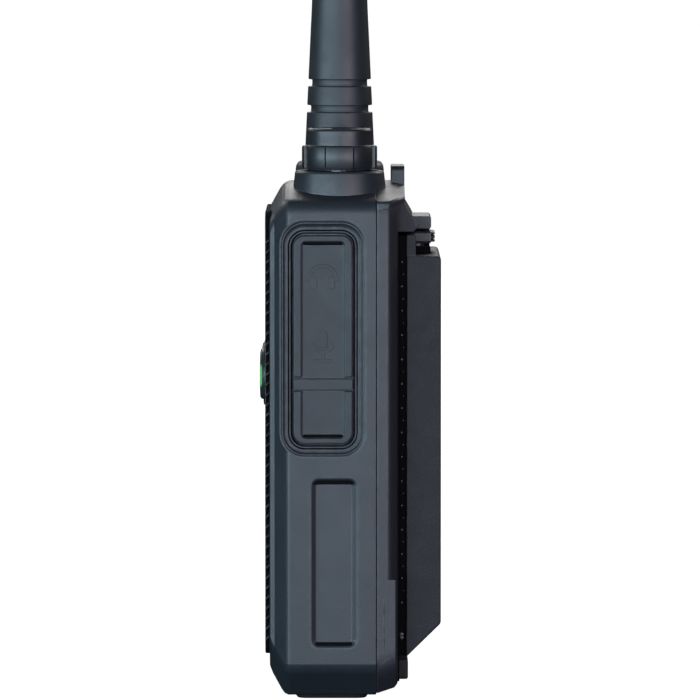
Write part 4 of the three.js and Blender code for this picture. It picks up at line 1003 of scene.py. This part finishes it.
# %% Display
lens_shape = grown_rect(lens_low.x, lens_high.x, lens_low.z, lens_high.z, 1.6)
make_piece("display_window", [stack(lens_shape, rounded_levels(lens_low.y, lens_high.y, 0.25), towards_y)],
           dark_lens, "radio_body", ["display_lens"])
window = (lens_low.x + 2.6, lens_high.x - 2.6, lens_low.z + 2.4, lens_high.z - 2.4)
screen = plate([round_rect(*window, 0.8),
                round_rect(window[0] + 0.25, window[1] - 0.25, window[2] + 0.25, window[3] - 0.25, 0.6)],
               [(0, lens_low.y - 0.008), (0, lens_low.y + 0.1)], towards_y)
bars = [stack(grown_rect(window[0] + 1.6 + 1.3 * i, window[0] + 2.5 + 1.3 * i, window[3] - 4.2,
                         window[3] - 3.4 + 0.6 * i, 0.1, 2),
                         [(0, lens_low.y - 0.008), (0, lens_low.y + 0.1)], towards_y)
        for i in range(4)]
cell = plate([round_rect(window[1] - 6.2, window[1] - 1.8, window[3] - 4.0, window[3] - 1.8, 0.3),
              round_rect(window[1] - 5.9, window[1] - 2.1, window[3] - 3.7, window[3] - 2.1, 0.2)],
             [(0, lens_low.y - 0.008), (0, lens_low.y + 0.1)], towards_y)
make_piece("display_marks", [screen, *bars, cell], screen_ink, "radio_body", ["display_lens"])
print("display made")

# %% [markdown]
# ## Keys
# Each key is its own moulded cap with a slightly domed face, because each one moves. The legends are
# text turned into mesh and laid on the cap, as a print would be.


# %% Key caps and legends
def dome_levels(face, back):
    return [(-1.3, face + 0.02), (-0.75, face + 0.05), (-0.4, face + 0.13), (-0.16, face + 0.27),
            (-0.04, face + 0.45), (0.0, face + 0.65), (0.0, back)]


def legend(text, size, x, z, face):
    """Flat letters standing 0.03 mm proud of a face that looks to -Y, as a mesh part."""
    words = bpy.data.curves.new("legend", "FONT")
    words.body = text
    words.size = size * MM
    words.align_x, words.align_y = "CENTER", "CENTER"
    words.extrude = 0.06 * MM
    words.resolution_u = 4
    holder = bpy.data.objects.new("legend", words)
    bpy.context.collection.objects.link(holder)
    bpy.context.view_layer.update()
    mesh = bpy.data.meshes.new_from_object(holder.evaluated_get(bpy.context.evaluated_depsgraph_get()))
    points = [(x + v.co.x / MM, face + 0.03 - v.co.z / MM, z + v.co.y / MM) for v in mesh.vertices]
    faces = [tuple(p.vertices) for p in mesh.polygons]
    bpy.data.objects.remove(holder)
    bpy.data.curves.remove(words)
    bpy.data.meshes.remove(mesh)
    return points, faces


letters = {"key_1": ("1", ""), "key_2": ("2", "abc"), "key_3": ("3", "def"), "key_4": ("4", "ghi"),
           "key_5": ("5", "jkl"), "key_6": ("6", "mno"), "key_7": ("7", "pqrs"), "key_8": ("8", "tuv"),
           "key_9": ("9", "wxyz"), "key_star": ("*", ""), "key_0": ("0", ""), "key_hash": ("#", "")}
for node in number_keys:
    low, high = node_box(node)
    x, z = (low.x + high.x) / 2, (low.z + high.z) / 2
    cap = stack(grown_rect(low.x, high.x, low.z, high.z, 1.1, 6), dome_levels(low.y, high.y), towards_y)
    make_piece(node + "_cap", [cap], key_rubber, node, [node])
    big, small = letters[node]
    prints = [legend(big, 3.6, x - (2.6 if small else 0), z - (0.7 if big == "*" else 0), low.y + 0.03)]
    if small:
        prints.append(legend(small, 2.2, x + 2.2, z - 0.1, low.y + 0.03))
    make_piece(node + "_legend", prints, legend_paint, node, [node])
print("number keys made")

# %% Menu keys
NAV_Z = (nav_low.z + nav_high.z) / 2
confirm_low, confirm_high = node_box("key_confirm")


def end_shape(side):
    """The outline of an end key: straight inside, round outside."""
    low, high = confirm_low, confirm_high
    r = (high.z - low.z) / 2

    def shape(grow):
        near, far = low.x - grow, high.x - r
        points = [(near, NAV_Z - r - grow), *arc(far, NAV_Z, r + grow, -90, 90, 24),
                  (near, NAV_Z + r + grow)]
        return points if side > 0 else [(-u, v) for u, v in points[::-1]]
    return shape


bezel_levels = [(-0.5, nav_low.y + 0.5), (-0.2, nav_low.y + 0.56), (-0.05, nav_low.y + 0.72),
                (0, nav_low.y + 0.95), (0, nav_high.y)]
mid_shape = {}
for node in ("key_up", "key_down"):
    low, high = node_box(node)
    mid_shape[node] = grown_rect(low.x, high.x, low.z, high.z, 0.9, 5)
bezel = plate([nav_shape(0), end_shape(1)(0.28), end_shape(-1)(0.28), mid_shape["key_up"](0.28),
               mid_shape["key_down"](0.28)], bezel_levels, towards_y)
make_piece("menu_bezel", [bezel], trim_plastic, "radio_body", ["nav_bezel"])
for node, side in (("key_confirm", 1), ("key_exit", -1)):
    low, high = node_box(node)
    x = (low.x + high.x) / 2
    cap = stack(end_shape(side), dome_levels(low.y, high.y), towards_y)
    make_piece(node + "_cap", [cap], key_rubber, node, [node])
    if side > 0:
        band = stack(grown_rect(high.x - 2.6, high.x - 0.02, NAV_Z - 2.4, NAV_Z + 2.4, 0.6, 5),
                     [(-0.3, low.y), (-0.08, low.y + 0.08), (-0.02, low.y + 0.2), (-0.02, low.y + 0.5)],
                     towards_y)
        dot = stack(lambda grow, x=x: circle(x - 0.6, NAV_Z, 1.9 + grow, 40),
                    [(-0.2, low.y), (0, low.y + 0.08), (0, low.y + 0.4)], towards_y)
        make_piece("confirm_mark", [band, dot], green_rubber, node, [node])
    else:
        ring = plate([circle(x + 0.6, NAV_Z, 1.9, 40), circle(x + 0.6, NAV_Z, 1.45, 40)],
                     [(0, low.y), (0, low.y + 0.3)], towards_y)
        make_piece("exit_mark", [ring], legend_paint, node, [node])
for node, turn in (("key_up", 1), ("key_down", -1)):
    low, high = node_box(node)
    z = (low.z + high.z) / 2
    cap = stack(mid_shape[node], dome_levels(low.y, high.y), towards_y)
    arrow = [(-1.3, z - 0.55 * turn), (1.3, z - 0.55 * turn), (0.0, z + 0.85 * turn)]
    arrow = arrow if turn > 0 else arrow[::-1]
    mark = stack(lambda grow, arrow=arrow: offset(arrow, -grow), [(0, low.y), (0, low.y + 0.3)], towards_y)
    make_piece(node + "_cap", [cap], key_rubber, node, [node])
    make_piece(node + "_mark", [mark], legend_paint, node, [node])
print("menu keys made")

# %% [markdown]
# ## Jack cover
# One rubber moulding in three stretches: an upper flap over the audio jacks, a thin strap that holds
# it to the body, and a lower flap over the data port. Each flap has a sunken field with a deeper
# slot for a fingernail, and plugs on its back that sit in the jacks.


# %% Flaps
COVER_FACE = flap_high.x
COVER_BACK = COVER_FACE - 1.75
SUNK = 0.45


def flap_outline(z0, z1, low_radius, high_radius):
    """A flap's outline in (y, z), with different corners below and above."""
    y0, y1 = flap_low.y, flap_high.y

    def shape(grow):
        a, b = max(0.05, low_radius + grow), max(0.05, high_radius + grow)
        left, right, low, high = y0 - grow, y1 + grow, z0 - grow, z1 + grow
        return (arc(right - a, low + a, a, -90, 0, 8) + arc(right - b, high - b, b, 0, 90, 8)
                + arc(left + b, high - b, b, 90, 180, 8) + arc(left + a, low + a, a, 180, 270, 8))
    return shape


def flap(z0, z1, low_radius, high_radius, field, slot):
    body = stack(flap_outline(z0, z1, low_radius, high_radius),
                 rounded_levels(COVER_FACE, COVER_BACK, 0.3), towards_x(1))
    sink = stack(grown_rect(flap_low.y + 1.75, flap_high.y - 1.75, *field, 0.9, 6),
                 [(0.35, COVER_FACE + 0.5), (0.3, COVER_FACE + 0.02), (0.1, COVER_FACE - 0.12),
                  (-0.2, COVER_FACE - SUNK + 0.08), (-0.4, COVER_FACE - SUNK)], towards_x(1))
    nail = stack(grown_rect(flap_low.y + 2.0, flap_high.y - 2.0, *slot, 0.42, 6),
                 [(0.06, COVER_FACE + 0.5), (0.02, COVER_FACE - 0.2), (-0.12, COVER_FACE - 1.35)],
                 towards_x(1))
    return carve("flap", [body], [sink, nail])


def plug(z, radius):
    profile = [(0.01, COVER_BACK + 0.1), (radius, COVER_BACK + 0.1), (radius, COVER_BACK - 0.8),
               (radius - 0.15, COVER_BACK - 0.98), (0.01, COVER_BACK - 1.0)]
    angles = [2 * math.pi * i / 32 for i in range(32)]
    return loft([[(x, JACK_Y + r * math.cos(a), z + r * math.sin(a)) for a in angles]
                 for r, x in profile])


upper = flap(flap_low.z, flap_high.z, 0.35, 2.4, (flap_low.z - 2, flap_high.z - 1.4),
             (flap_high.z - 2.15, flap_high.z - 1.45))
lower = flap(lower_low.z, lower_high.z, 2.4, 0.35, (lower_low.z + 1.3, lower_high.z + 2),
             (lower_low.z + 1.35, lower_low.z + 2.05))
make_piece("jack_flap_upper_skin", [upper, plug(PHONE_Z, 1.7), plug(MIC_Z, 1.2)], cover_rubber,
           "jack_flap_upper", ["jack_flap_upper"])
make_piece("jack_flap_lower_skin",
           [lower, stack(grown_rect(JACK_Y - 3.9, JACK_Y + 3.9, usb_low.z + 0.55, usb_high.z - 0.55, 0.6, 5),
                         [(0, COVER_BACK + 0.1), (0, COVER_BACK - 0.75), (-0.2, COVER_BACK - 0.95)],
                         towards_x(1))],
           cover_rubber, "jack_flap_lower", ["jack_flap_lower"])
strap_shape = grown_rect(strap_low.y + 0.02, strap_high.y - 0.02, strap_low.z + 0.02, strap_high.z - 0.02,
                         0.12, 3)
make_piece("cover_strap_skin",
           [stack(strap_shape, rounded_levels(COVER_FACE - 0.1, COVER_BACK, 0.12), towards_x(1)),
            stack(grown_rect(JACK_Y - 2.0, JACK_Y + 2.0, strap_low.z + 0.5, strap_high.z - 0.5, 0.1, 3),
                  [(0, COVER_BACK + 0.1), (0, strap_low.x)], towards_x(1))],
           cover_rubber, "radio_body", ["cover_strap"])
# A black block in the floor of each fingernail slot: painted shade in the slot.
for node, z0, z1 in (("jack_flap_upper", flap_high.z - 2.12, flap_high.z - 1.48),
                     ("jack_flap_lower", lower_low.z + 1.38, lower_low.z + 2.02)):
    slot_shade_block = stack(grown_rect(flap_low.y + 2.05, flap_high.y - 2.05, z0, z1, 0.38, 6),
                  [(0, COVER_FACE - 1.7), (0, COVER_FACE - 0.95), (-0.1, COVER_FACE - 0.9)], towards_x(1))
    make_piece(node + "_slot", [slot_shade_block], slot_shadow, node, [node])
print("jack cover made")


# %% Signs on the cover
def bar(outline_points):
    """A raised sign on the sunken field, from an outline in (y, z)."""
    if signed_area(outline_points) < 0:
        outline_points = outline_points[::-1]
    face = COVER_FACE - SUNK
    return stack(lambda grow: offset(outline_points, -grow),
                 [(0, face - 0.05), (0, face + 0.06), (-0.05, face + 0.1)], towards_x(1))


head_y, head_z = JACK_Y, 91.3
headphones = [bar(arc(head_y, head_z, 3.3, -8, 188, 28) + arc(head_y, head_z, 2.55, 188, -8, 28)),
              bar(round_rect(head_y - 2.6, head_y - 1.25, head_z - 2.1, head_z + 0.6, 0.5, 4)),
              bar(round_rect(head_y + 1.25, head_y + 2.6, head_z - 2.1, head_z + 0.6, 0.5, 4))]
mic_y, mic_z = JACK_Y + 0.05, 77.3
microphone = [bar(round_rect(mic_y - 0.95, mic_y + 0.95, mic_z - 0.9, mic_z + 2.9, 0.9, 6)),
              bar(arc(mic_y, mic_z + 0.3, 2.3, 180, 360, 24) + arc(mic_y, mic_z + 0.3, 1.65, 360, 180, 24)),
              bar(round_rect(mic_y - 0.35, mic_y + 0.35, mic_z - 3.2, mic_z - 1.9, 0.05, 2)),
              bar(round_rect(mic_y - 1.9, mic_y + 1.9, mic_z - 3.8, mic_z - 3.15, 0.2, 3))]
make_piece("cover_signs", headphones + microphone, mark_rubber, "jack_flap_upper",
           ["jack_flap_upper"])
print("signs made")

# %% [markdown]
# ## Talk button and side keys
# The left pocket holds a big rubber talk button and two small keys. They share the jack cover's
# outline, so both sides of the radio look alike, and ridges tell the thumb where the talk button is.

# %% Talk side
ptt_low, ptt_high = node_box("ptt_button")
BUTTON_BACK = 27.85                 # leaves the travel of a press above the pocket's floor
side_face = -ptt_low.x
ptt_body = stack(flap_outline(ptt_low.z, ptt_high.z, 0.5, 2.4),
                 rounded_levels(side_face, BUTTON_BACK, 0.7, 6), towards_x(-1))
ridge = stack(grown_rect(JACK_Y - 3.6, JACK_Y + 3.6, -0.4, 0.4, 0.39, 6),
              [(0.1, side_face - 0.3), (0.1, side_face - 0.16), (-0.06, side_face - 0.03), (-0.2, side_face)],
              towards_x(-1))
dish = stack(grown_rect(flap_low.y + 1.6, flap_high.y - 1.6, ptt_low.z + 1.6, ptt_high.z - 1.6, 1.4, 8),
             [(0.3, side_face + 0.3), (0.1, side_face - 0.02), (-0.6, side_face - 0.2),
              (-1.0, side_face - 0.24)], towards_x(-1))
ptt_skin = carve("ptt", [ptt_body], [dish])
ridges = row(moved(ridge, z=(ptt_low.z + ptt_high.z) / 2 - 6), 7, (0, 0, 2.0), cover_rubber)
plunger = rod(-1, JACK_Y, button_z[0], 1.5, BUTTON_BACK + 0.2, -ptt_high.x)
make_piece("ptt_button_skin", [ptt_skin, ridges, plunger], cover_rubber, "ptt_button",
           ["ptt_button"])
for index, (node, low_radius, high_radius) in enumerate((("side_key_upper", 0.4, 0.4),
                                                         ("side_key_lower", 2.4, 0.4))):
    low, high = node_box(node)
    face = -low.x
    cap = stack(flap_outline(low.z, high.z, low_radius, high_radius),
                rounded_levels(face, BUTTON_BACK, 0.5, 5), towards_x(-1))
    mark_z = (low.z + high.z) / 2
    lines = [stack(grown_rect(JACK_Y - 1.6, JACK_Y + 1.6, mark_z + dz - 0.22, mark_z + dz + 0.22, 0.2, 4),
                   [(0, face - 0.2), (0, face - 0.03), (-0.08, face)], towards_x(-1))
             for dz in ([0.0] if index else [-0.6, 0.6])]
    stem = rod(-1, JACK_Y, mark_z, 1.5, BUTTON_BACK + 0.2, -high.x)
    make_piece(node + "_cap", [cap, *lines, stem], key_rubber, node, [node])
print("talk side made")

# %% [markdown]
# ## Battery
# The battery carries its own outer skin: a flange that continues the shell's sides and then turns in,
# a channel finished black as painted shade, with small studs whose lighter grey is a painted glint,
# and the flat hump that holds the cells. Each is lofted from level outlines, so the turn of the edge is
# smooth.


# %% Flange, channel and hump
FLANGE_REAR = 10.15
CAP_FOOT = 106.05
flange_turn = [(PACK_FRONT - 0.14, 0.3), (PACK_FRONT - 0.06, 0.12), (PACK_FRONT + 0.08, 0.03),
               (PACK_FRONT + 0.2, 0.0), (7.7, 0.0), (7.95, 0.05), (8.4, 0.32), (8.9, 0.85), (9.4, 1.6),
               (9.8, 2.4), (10.05, 3.3), (FLANGE_REAR, 4.2)]
heel_turn = [(PACK_FRONT - 0.14, 0.3), (PACK_FRONT - 0.06, 0.12), (PACK_FRONT + 0.08, 0.03),
             (PACK_FRONT + 0.2, 0.0), (9.35, 0.0), (9.6, 0.08), (9.85, 0.35), (10.02, 0.9), (10.1, 1.8),
             (FLANGE_REAR, 4.2)]


def side_x(inset, z):
    """Half the housing's width at a height."""
    half = [p for p in housing_outline(inset)[:60] if p[0] > HALF - 16]
    for (x0, z0), (x1, z1) in zip(half, half[1:]):
        if z0 <= z <= z1:
            return x0 + (x1 - x0) * (z - z0) / max(1e-6, z1 - z0)
    return HALF - inset


def flange_block(turn, heights):
    """A block that follows the housing's sides; heights(y) gives the levels from foot to top."""
    rings = []
    for y, inset in turn:
        right = [(side_x(inset, z), z) for z in heights(y)]
        rings.append([towards_y(x, z, y) for x, z in right + [(-x, z) for x, z in reversed(right)]])
    return loft(rings)


HEEL_TOP = 26.5


def seam_rise(y):
    """The line between the cap and the battery climbs towards the rear."""
    return 0.3 * max(0.0, y - 6.3)


def heel_heights(y):
    foot = BOTTOM + 0.55 + 0.9 * max(0.0, y - 8.0) ** 1.3
    return [foot + rise for rise in (0.0, 0.8, 1.6, 2.4, 3.2, 4.0, 5.0, 6.0, 7.5, 9.0)] + [18, HEEL_TOP]


def flange_heights(y):
    return [HEEL_TOP + 0.01, 60, 100, 104, 104.8, 105.4, CAP_FOOT + seam_rise(y)]


upper_flange = flange_block(flange_turn, flange_heights)
heel = flange_block(heel_turn, heel_heights)
groove = stack(grown_rect(7.05, 7.3, -1.0, HEEL_TOP - 4, 0.1, 2), [(0, HALF - 0.18), (0, HALF + 1)],
               towards_x(1))
HUMP_HALF, HUMP_REAR = 22.5, pack_high.y
hump_outline = [(12.0, 9.2), (18.9, 15.95),
                *bend((19.1, 16.15), (HUMP_REAR, 16.5), (HUMP_REAR, 17.1), 5)[1:],
                *arc(HUMP_REAR - 1.0, 95.1, 1.0, 0, 90, 6), (12.0, 96.1)]
hump_side = [(-0.5, HUMP_HALF), (-0.22, HUMP_HALF - 0.06), (-0.06, HUMP_HALF - 0.2), (0.0, HUMP_HALF - 0.45)]
hump_levels = [(grow, x) for grow, x in hump_side] + [(grow, -x) for grow, x in reversed(hump_side)]
hump_points = hump_outline[::-1] if signed_area(hump_outline) < 0 else hump_outline
hump_raw = stack(lambda grow: offset(hump_points, -grow), hump_levels, towards_x(1))
latch_low, latch_high = node_box("battery_latch")
neck = stack(grown_rect(12.0, 14.0, 95.0, 100.7, 0.3, 3),
             [(-0.3, 22.3), (-0.08, 22.2), (0, 21.9), (0, latch_high.x + 0.4)], towards_x(1))
latch_pocket_shade = stack(grown_rect(12.2, 17.3, 95.5, 97.6, 0.2, 3), [(0, latch_high.x + 0.4), (0, 12.0)],
                     towards_x(1))
label = stack(grown_rect(-17, 17, 30, 78, 2.5, 8),
              [(0.4, HUMP_REAR + 0.4), (0.3, HUMP_REAR + 0.01), (0.1, HUMP_REAR - 0.14),
               (-0.15, HUMP_REAR - 0.3)], towards_y)
hump = carve("hump", [hump_raw], [label])
channel = stack(grown_rect(-21.7, 21.7, 9.6, 12.3, 0.3, 3), [(0, 9.4), (0, 100.5)], towards_z)
lug_block = stack(grown_rect(-6, 6, 9.9, 12.5, 0.5, 5),
                  [(-0.5, 2.6), (-0.15, 2.7), (0, 3.1), (0, 6.3), (-0.15, 6.75), (-0.5, 6.9)], towards_z)
channel_front_shade = stack(grown_rect(-23.2, 23.2, 7.5, 10.5, 0.2, 2), [(0, 4.0), (0, 100.6)], towards_z)
heel_skin = carve("heel", [heel], [groove])
print("battery blocks made")


# %% Studs in the channel
def stud(side, y, z, radius):
    rings = []
    for r, out in ((radius, 0.0), (radius, 0.25), (radius * 0.75, 0.42), (radius * 0.3, 0.5)):
        rings.append([(side * (21.68 + out), y + r * math.cos(a), z + r * math.sin(a))
                      for a in [2 * math.pi * i / 14 for i in range(14)]])
    return loft(rings)


STUD_PITCH = 5.27
studs = []
for side in (-1, 1):
    studs.append(row(stud(side, 11.0, 21.0, 0.26), 15, (0, 0, STUD_PITCH), pack_plastic))
    studs.append(row(stud(side, 11.32, 23.6, 0.17), 14, (0, 0, STUD_PITCH), pack_plastic))
    studs.append(row(stud(side, 10.95, 13.4, 0.45), 2, (0, 0, 0.7), pack_plastic))
make_piece("battery_flange", [upper_flange, heel_skin], shell_grey, "battery",
           ["battery_case"], 30)
# The channel, the latch pocket's sides and the strip in front of the channel are finished black: painted
# shade in these hollows.
make_piece("battery_channel_shade", [channel, latch_pocket_shade, mirrored(latch_pocket_shade), channel_front_shade], slot_shadow,
           "battery", ["battery_case"], 30)
make_piece("battery_skin", [hump, neck, mirrored(neck), lug_block], pack_plastic, "battery",
           ["battery_case"], 30)
make_piece("channel_studs", studs, stud_glint_plastic, "battery", ["battery_case"])
print("battery made")

# %% Latch
latch_top = latch_high.z
latch_body = stack(grown_rect(latch_low.x, latch_high.x, 98.1, latch_top, 0.6, 5),
                   [(-0.4, latch_low.y), (0, latch_low.y + 0.4), (0, 17.1), (-0.12, 17.38), (-0.35, 17.46)],
                   towards_y)
grips = [stack(grown_rect(latch_low.x + 1, latch_high.x - 1, z, z + 0.42, 0.2, 3),
               [(0, 17.3), (0, 17.95), (-0.1, 18.3), (-0.18, 18.34)], towards_y)
         for z in (98.4, 99.25, 100.1)]
latch_stem = lathe([(0.0, latch_low.z + 1.9), (1.8, latch_low.z + 1.9), (1.8, 98.3), (0.0, 98.3)], 0,
                   latch_low.y + 2.1, 32)
make_piece("battery_latch_body", [latch_body, *grips, latch_stem], body_plastic, "battery_latch",
           ["battery_latch"])
print("latch made")

# %% [markdown]
# ## Rear cap and chassis
# Behind the collars the top belongs to the metal chassis: a cap with a sloping tongue that hooks the
# battery, a guard over the latch and a lug for a lanyard.

# %% Chassis
CHASSIS_FRONT, CHASSIS_REAR, CAP_REAR = 2.4, 5.0, 11.65
cap_turn = [(SEAM, 0.28), (SEAM + 0.08, 0.12), (SEAM + 0.22, 0.03), (SEAM + 0.4, 0.0), (7.7, 0.0),
            (7.95, 0.05), (8.5, 0.4), (9.2, 1.3), (9.9, 2.4), (10.6, 3.8), (11.2, 5.1), (11.5, 6.0),
            (CAP_REAR, 7.2)]
cap_rings = []
for y, inset in cap_turn:
    ring = housing_outline(inset, 0.35 * max(0.0, y - 9.8), 0.0, 1.0, 0.9)
    cap_rings.append([towards_y(x, max(CAP_FOOT + 0.12 + seam_rise(y), z), y) for x, z in ring])
collar_cutters = [stack(lambda grow, x=x: circle(x, STEM_Y, 10.05, 64), [(0, 100), (0, 120)], towards_z)
                  for x in (STEM_X, -STEM_X)]
cap = carve("cap", [loft(cap_rings)], collar_cutters)
tongue_outline = [(6.2, 101.2), (13.6, 101.2), (14.35, 102.2), (13.2, 104.6), (11.65, 107.2), (11.65, 108.6),
                  (6.2, 108.6)]
tongue = stack(lambda grow: offset(tongue_outline, -grow),
               [(-0.3, 22.2), (-0.08, 22.1), (0, 21.8), (0, -21.8), (-0.08, -22.1), (-0.3, -22.2)],
               towards_x(1))
guard = stack(grown_rect(12.6, 17.46, 101.3, 104.2, 0.7, 6),
              [(-0.3, 9.5), (-0.08, 9.4), (0, 9.1), (0, -9.1), (-0.08, -9.4), (-0.3, -9.5)], towards_x(1))
lug_top = chassis_high.z
lanyard = plate([round_rect(-7, 7, TOP - 3, lug_top, 1.2, 6),
                 round_rect(-4, 4, TOP - 0.3, TOP + 1.4, 0.8, 6)],
                [(-0.25, 8.7), (-0.06, 8.78), (0, 8.95), (0, 11.4), (-0.06, 11.57), (-0.25, CAP_REAR)],
                towards_y)
plate_rim = housing_outline(WALL + 0.3, WALL + 0.3, WALL + 1.2)
chassis_plate = plate([plate_rim], [(0, CHASSIS_FRONT), (0, CHASSIS_REAR)], towards_y)
lip = plate([housing_outline(0.7, 0.7, 0.7), housing_outline(2.6, 2.6, 2.6)],
            [(0, 4.2), (0, PACK_FRONT - 0.145)], towards_y)
# The tongue is finished in black plastic: painted shade where the cap turns in towards the battery.
make_piece("chassis_tongue", [tongue], black_plastic, "radio_body", ["chassis"], 30)
make_piece("chassis_cap", [cap, guard, lanyard], body_plastic, "radio_body", ["chassis"],
           30)
make_piece("chassis_plate", [chassis_plate, lip], black_plastic, "radio_body", ["chassis"])
print("chassis made")

# %% [markdown]
# ## Speaker cloth and foot
# Behind the slots a fine cloth keeps dust out of the speaker. The rubber foot is a rounded plate with
# a few grooves underneath.

# %% Cloth and foot
speaker_low, speaker_high = node_box("speaker")
thread = stack(grown_rect(-15.0, 15.0, -0.09, 0.09, 0.08, 2),
               [(0, speaker_low.y - 0.25), (0, speaker_low.y - 0.1)], towards_y)
weft = row(moved(thread, z=speaker_low.z + 0.6), 42, (0, 0, 0.4), steel_cloth)
backing = stack(grown_rect(-15.2, 15.2, speaker_low.z + 0.3, speaker_high.z - 0.3, 3.5, 5),
                [(0, speaker_low.y - 0.14), (0, speaker_low.y - 0.02)], towards_y)
make_piece("speaker_cloth", [weft, backing], steel_cloth, "radio_body", ["speaker"])
foot_low, foot_high = node_box("base_foot")
foot_shape = grown_rect(foot_low.x, foot_high.x, foot_low.y, foot_high.y, 3, 8)
foot_body = stack(foot_shape, [(-1.0, 0.0), (-0.85, 0.06), (-0.25, 0.8), (-0.1, 0.9), (0.0, 1.0),
                               (-0.05, 1.1), (-0.4, 1.2)], towards_z)
make_piece("base_foot_skin", [foot_body], foot_rubber, "radio_body", ["base_foot"])
print("cloth and foot made")

# %% [markdown]
# ## Leaving the hidden pieces as they are
# Pieces that no one sees while the radio is closed keep the frame's solids and only get a finish.


# %% Finish of the inner pieces
def paint(nodes, material):
    for node in nodes:
        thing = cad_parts[node]
        thing.data.materials.clear()
        thing.data.materials.append(material)


paint(["circuit_board", "switch_board"], circuit_lacquer)
paint(["rf_shield", "latch_spring", "antenna_radiator", "usb_port", "volume_potentiometer",
       "microphone_capsule", "display_module"] + [f"chassis_screw_{i}" for i in range(1, 5)], plated_steel)
paint(["antenna_socket", "antenna_connector", "contact_pad_left", "contact_pad_right",
       "contact_spring_left", "contact_spring_right"], gold_brass)
paint(["jack_block"], black_plastic)
paint(["keypad_mat", "button_seal", "chassis_seal"], cover_rubber)
paint(["battery_cell_left", "battery_cell_right"], cell_film)
paint(["battery_inner_plate"], pack_plastic)
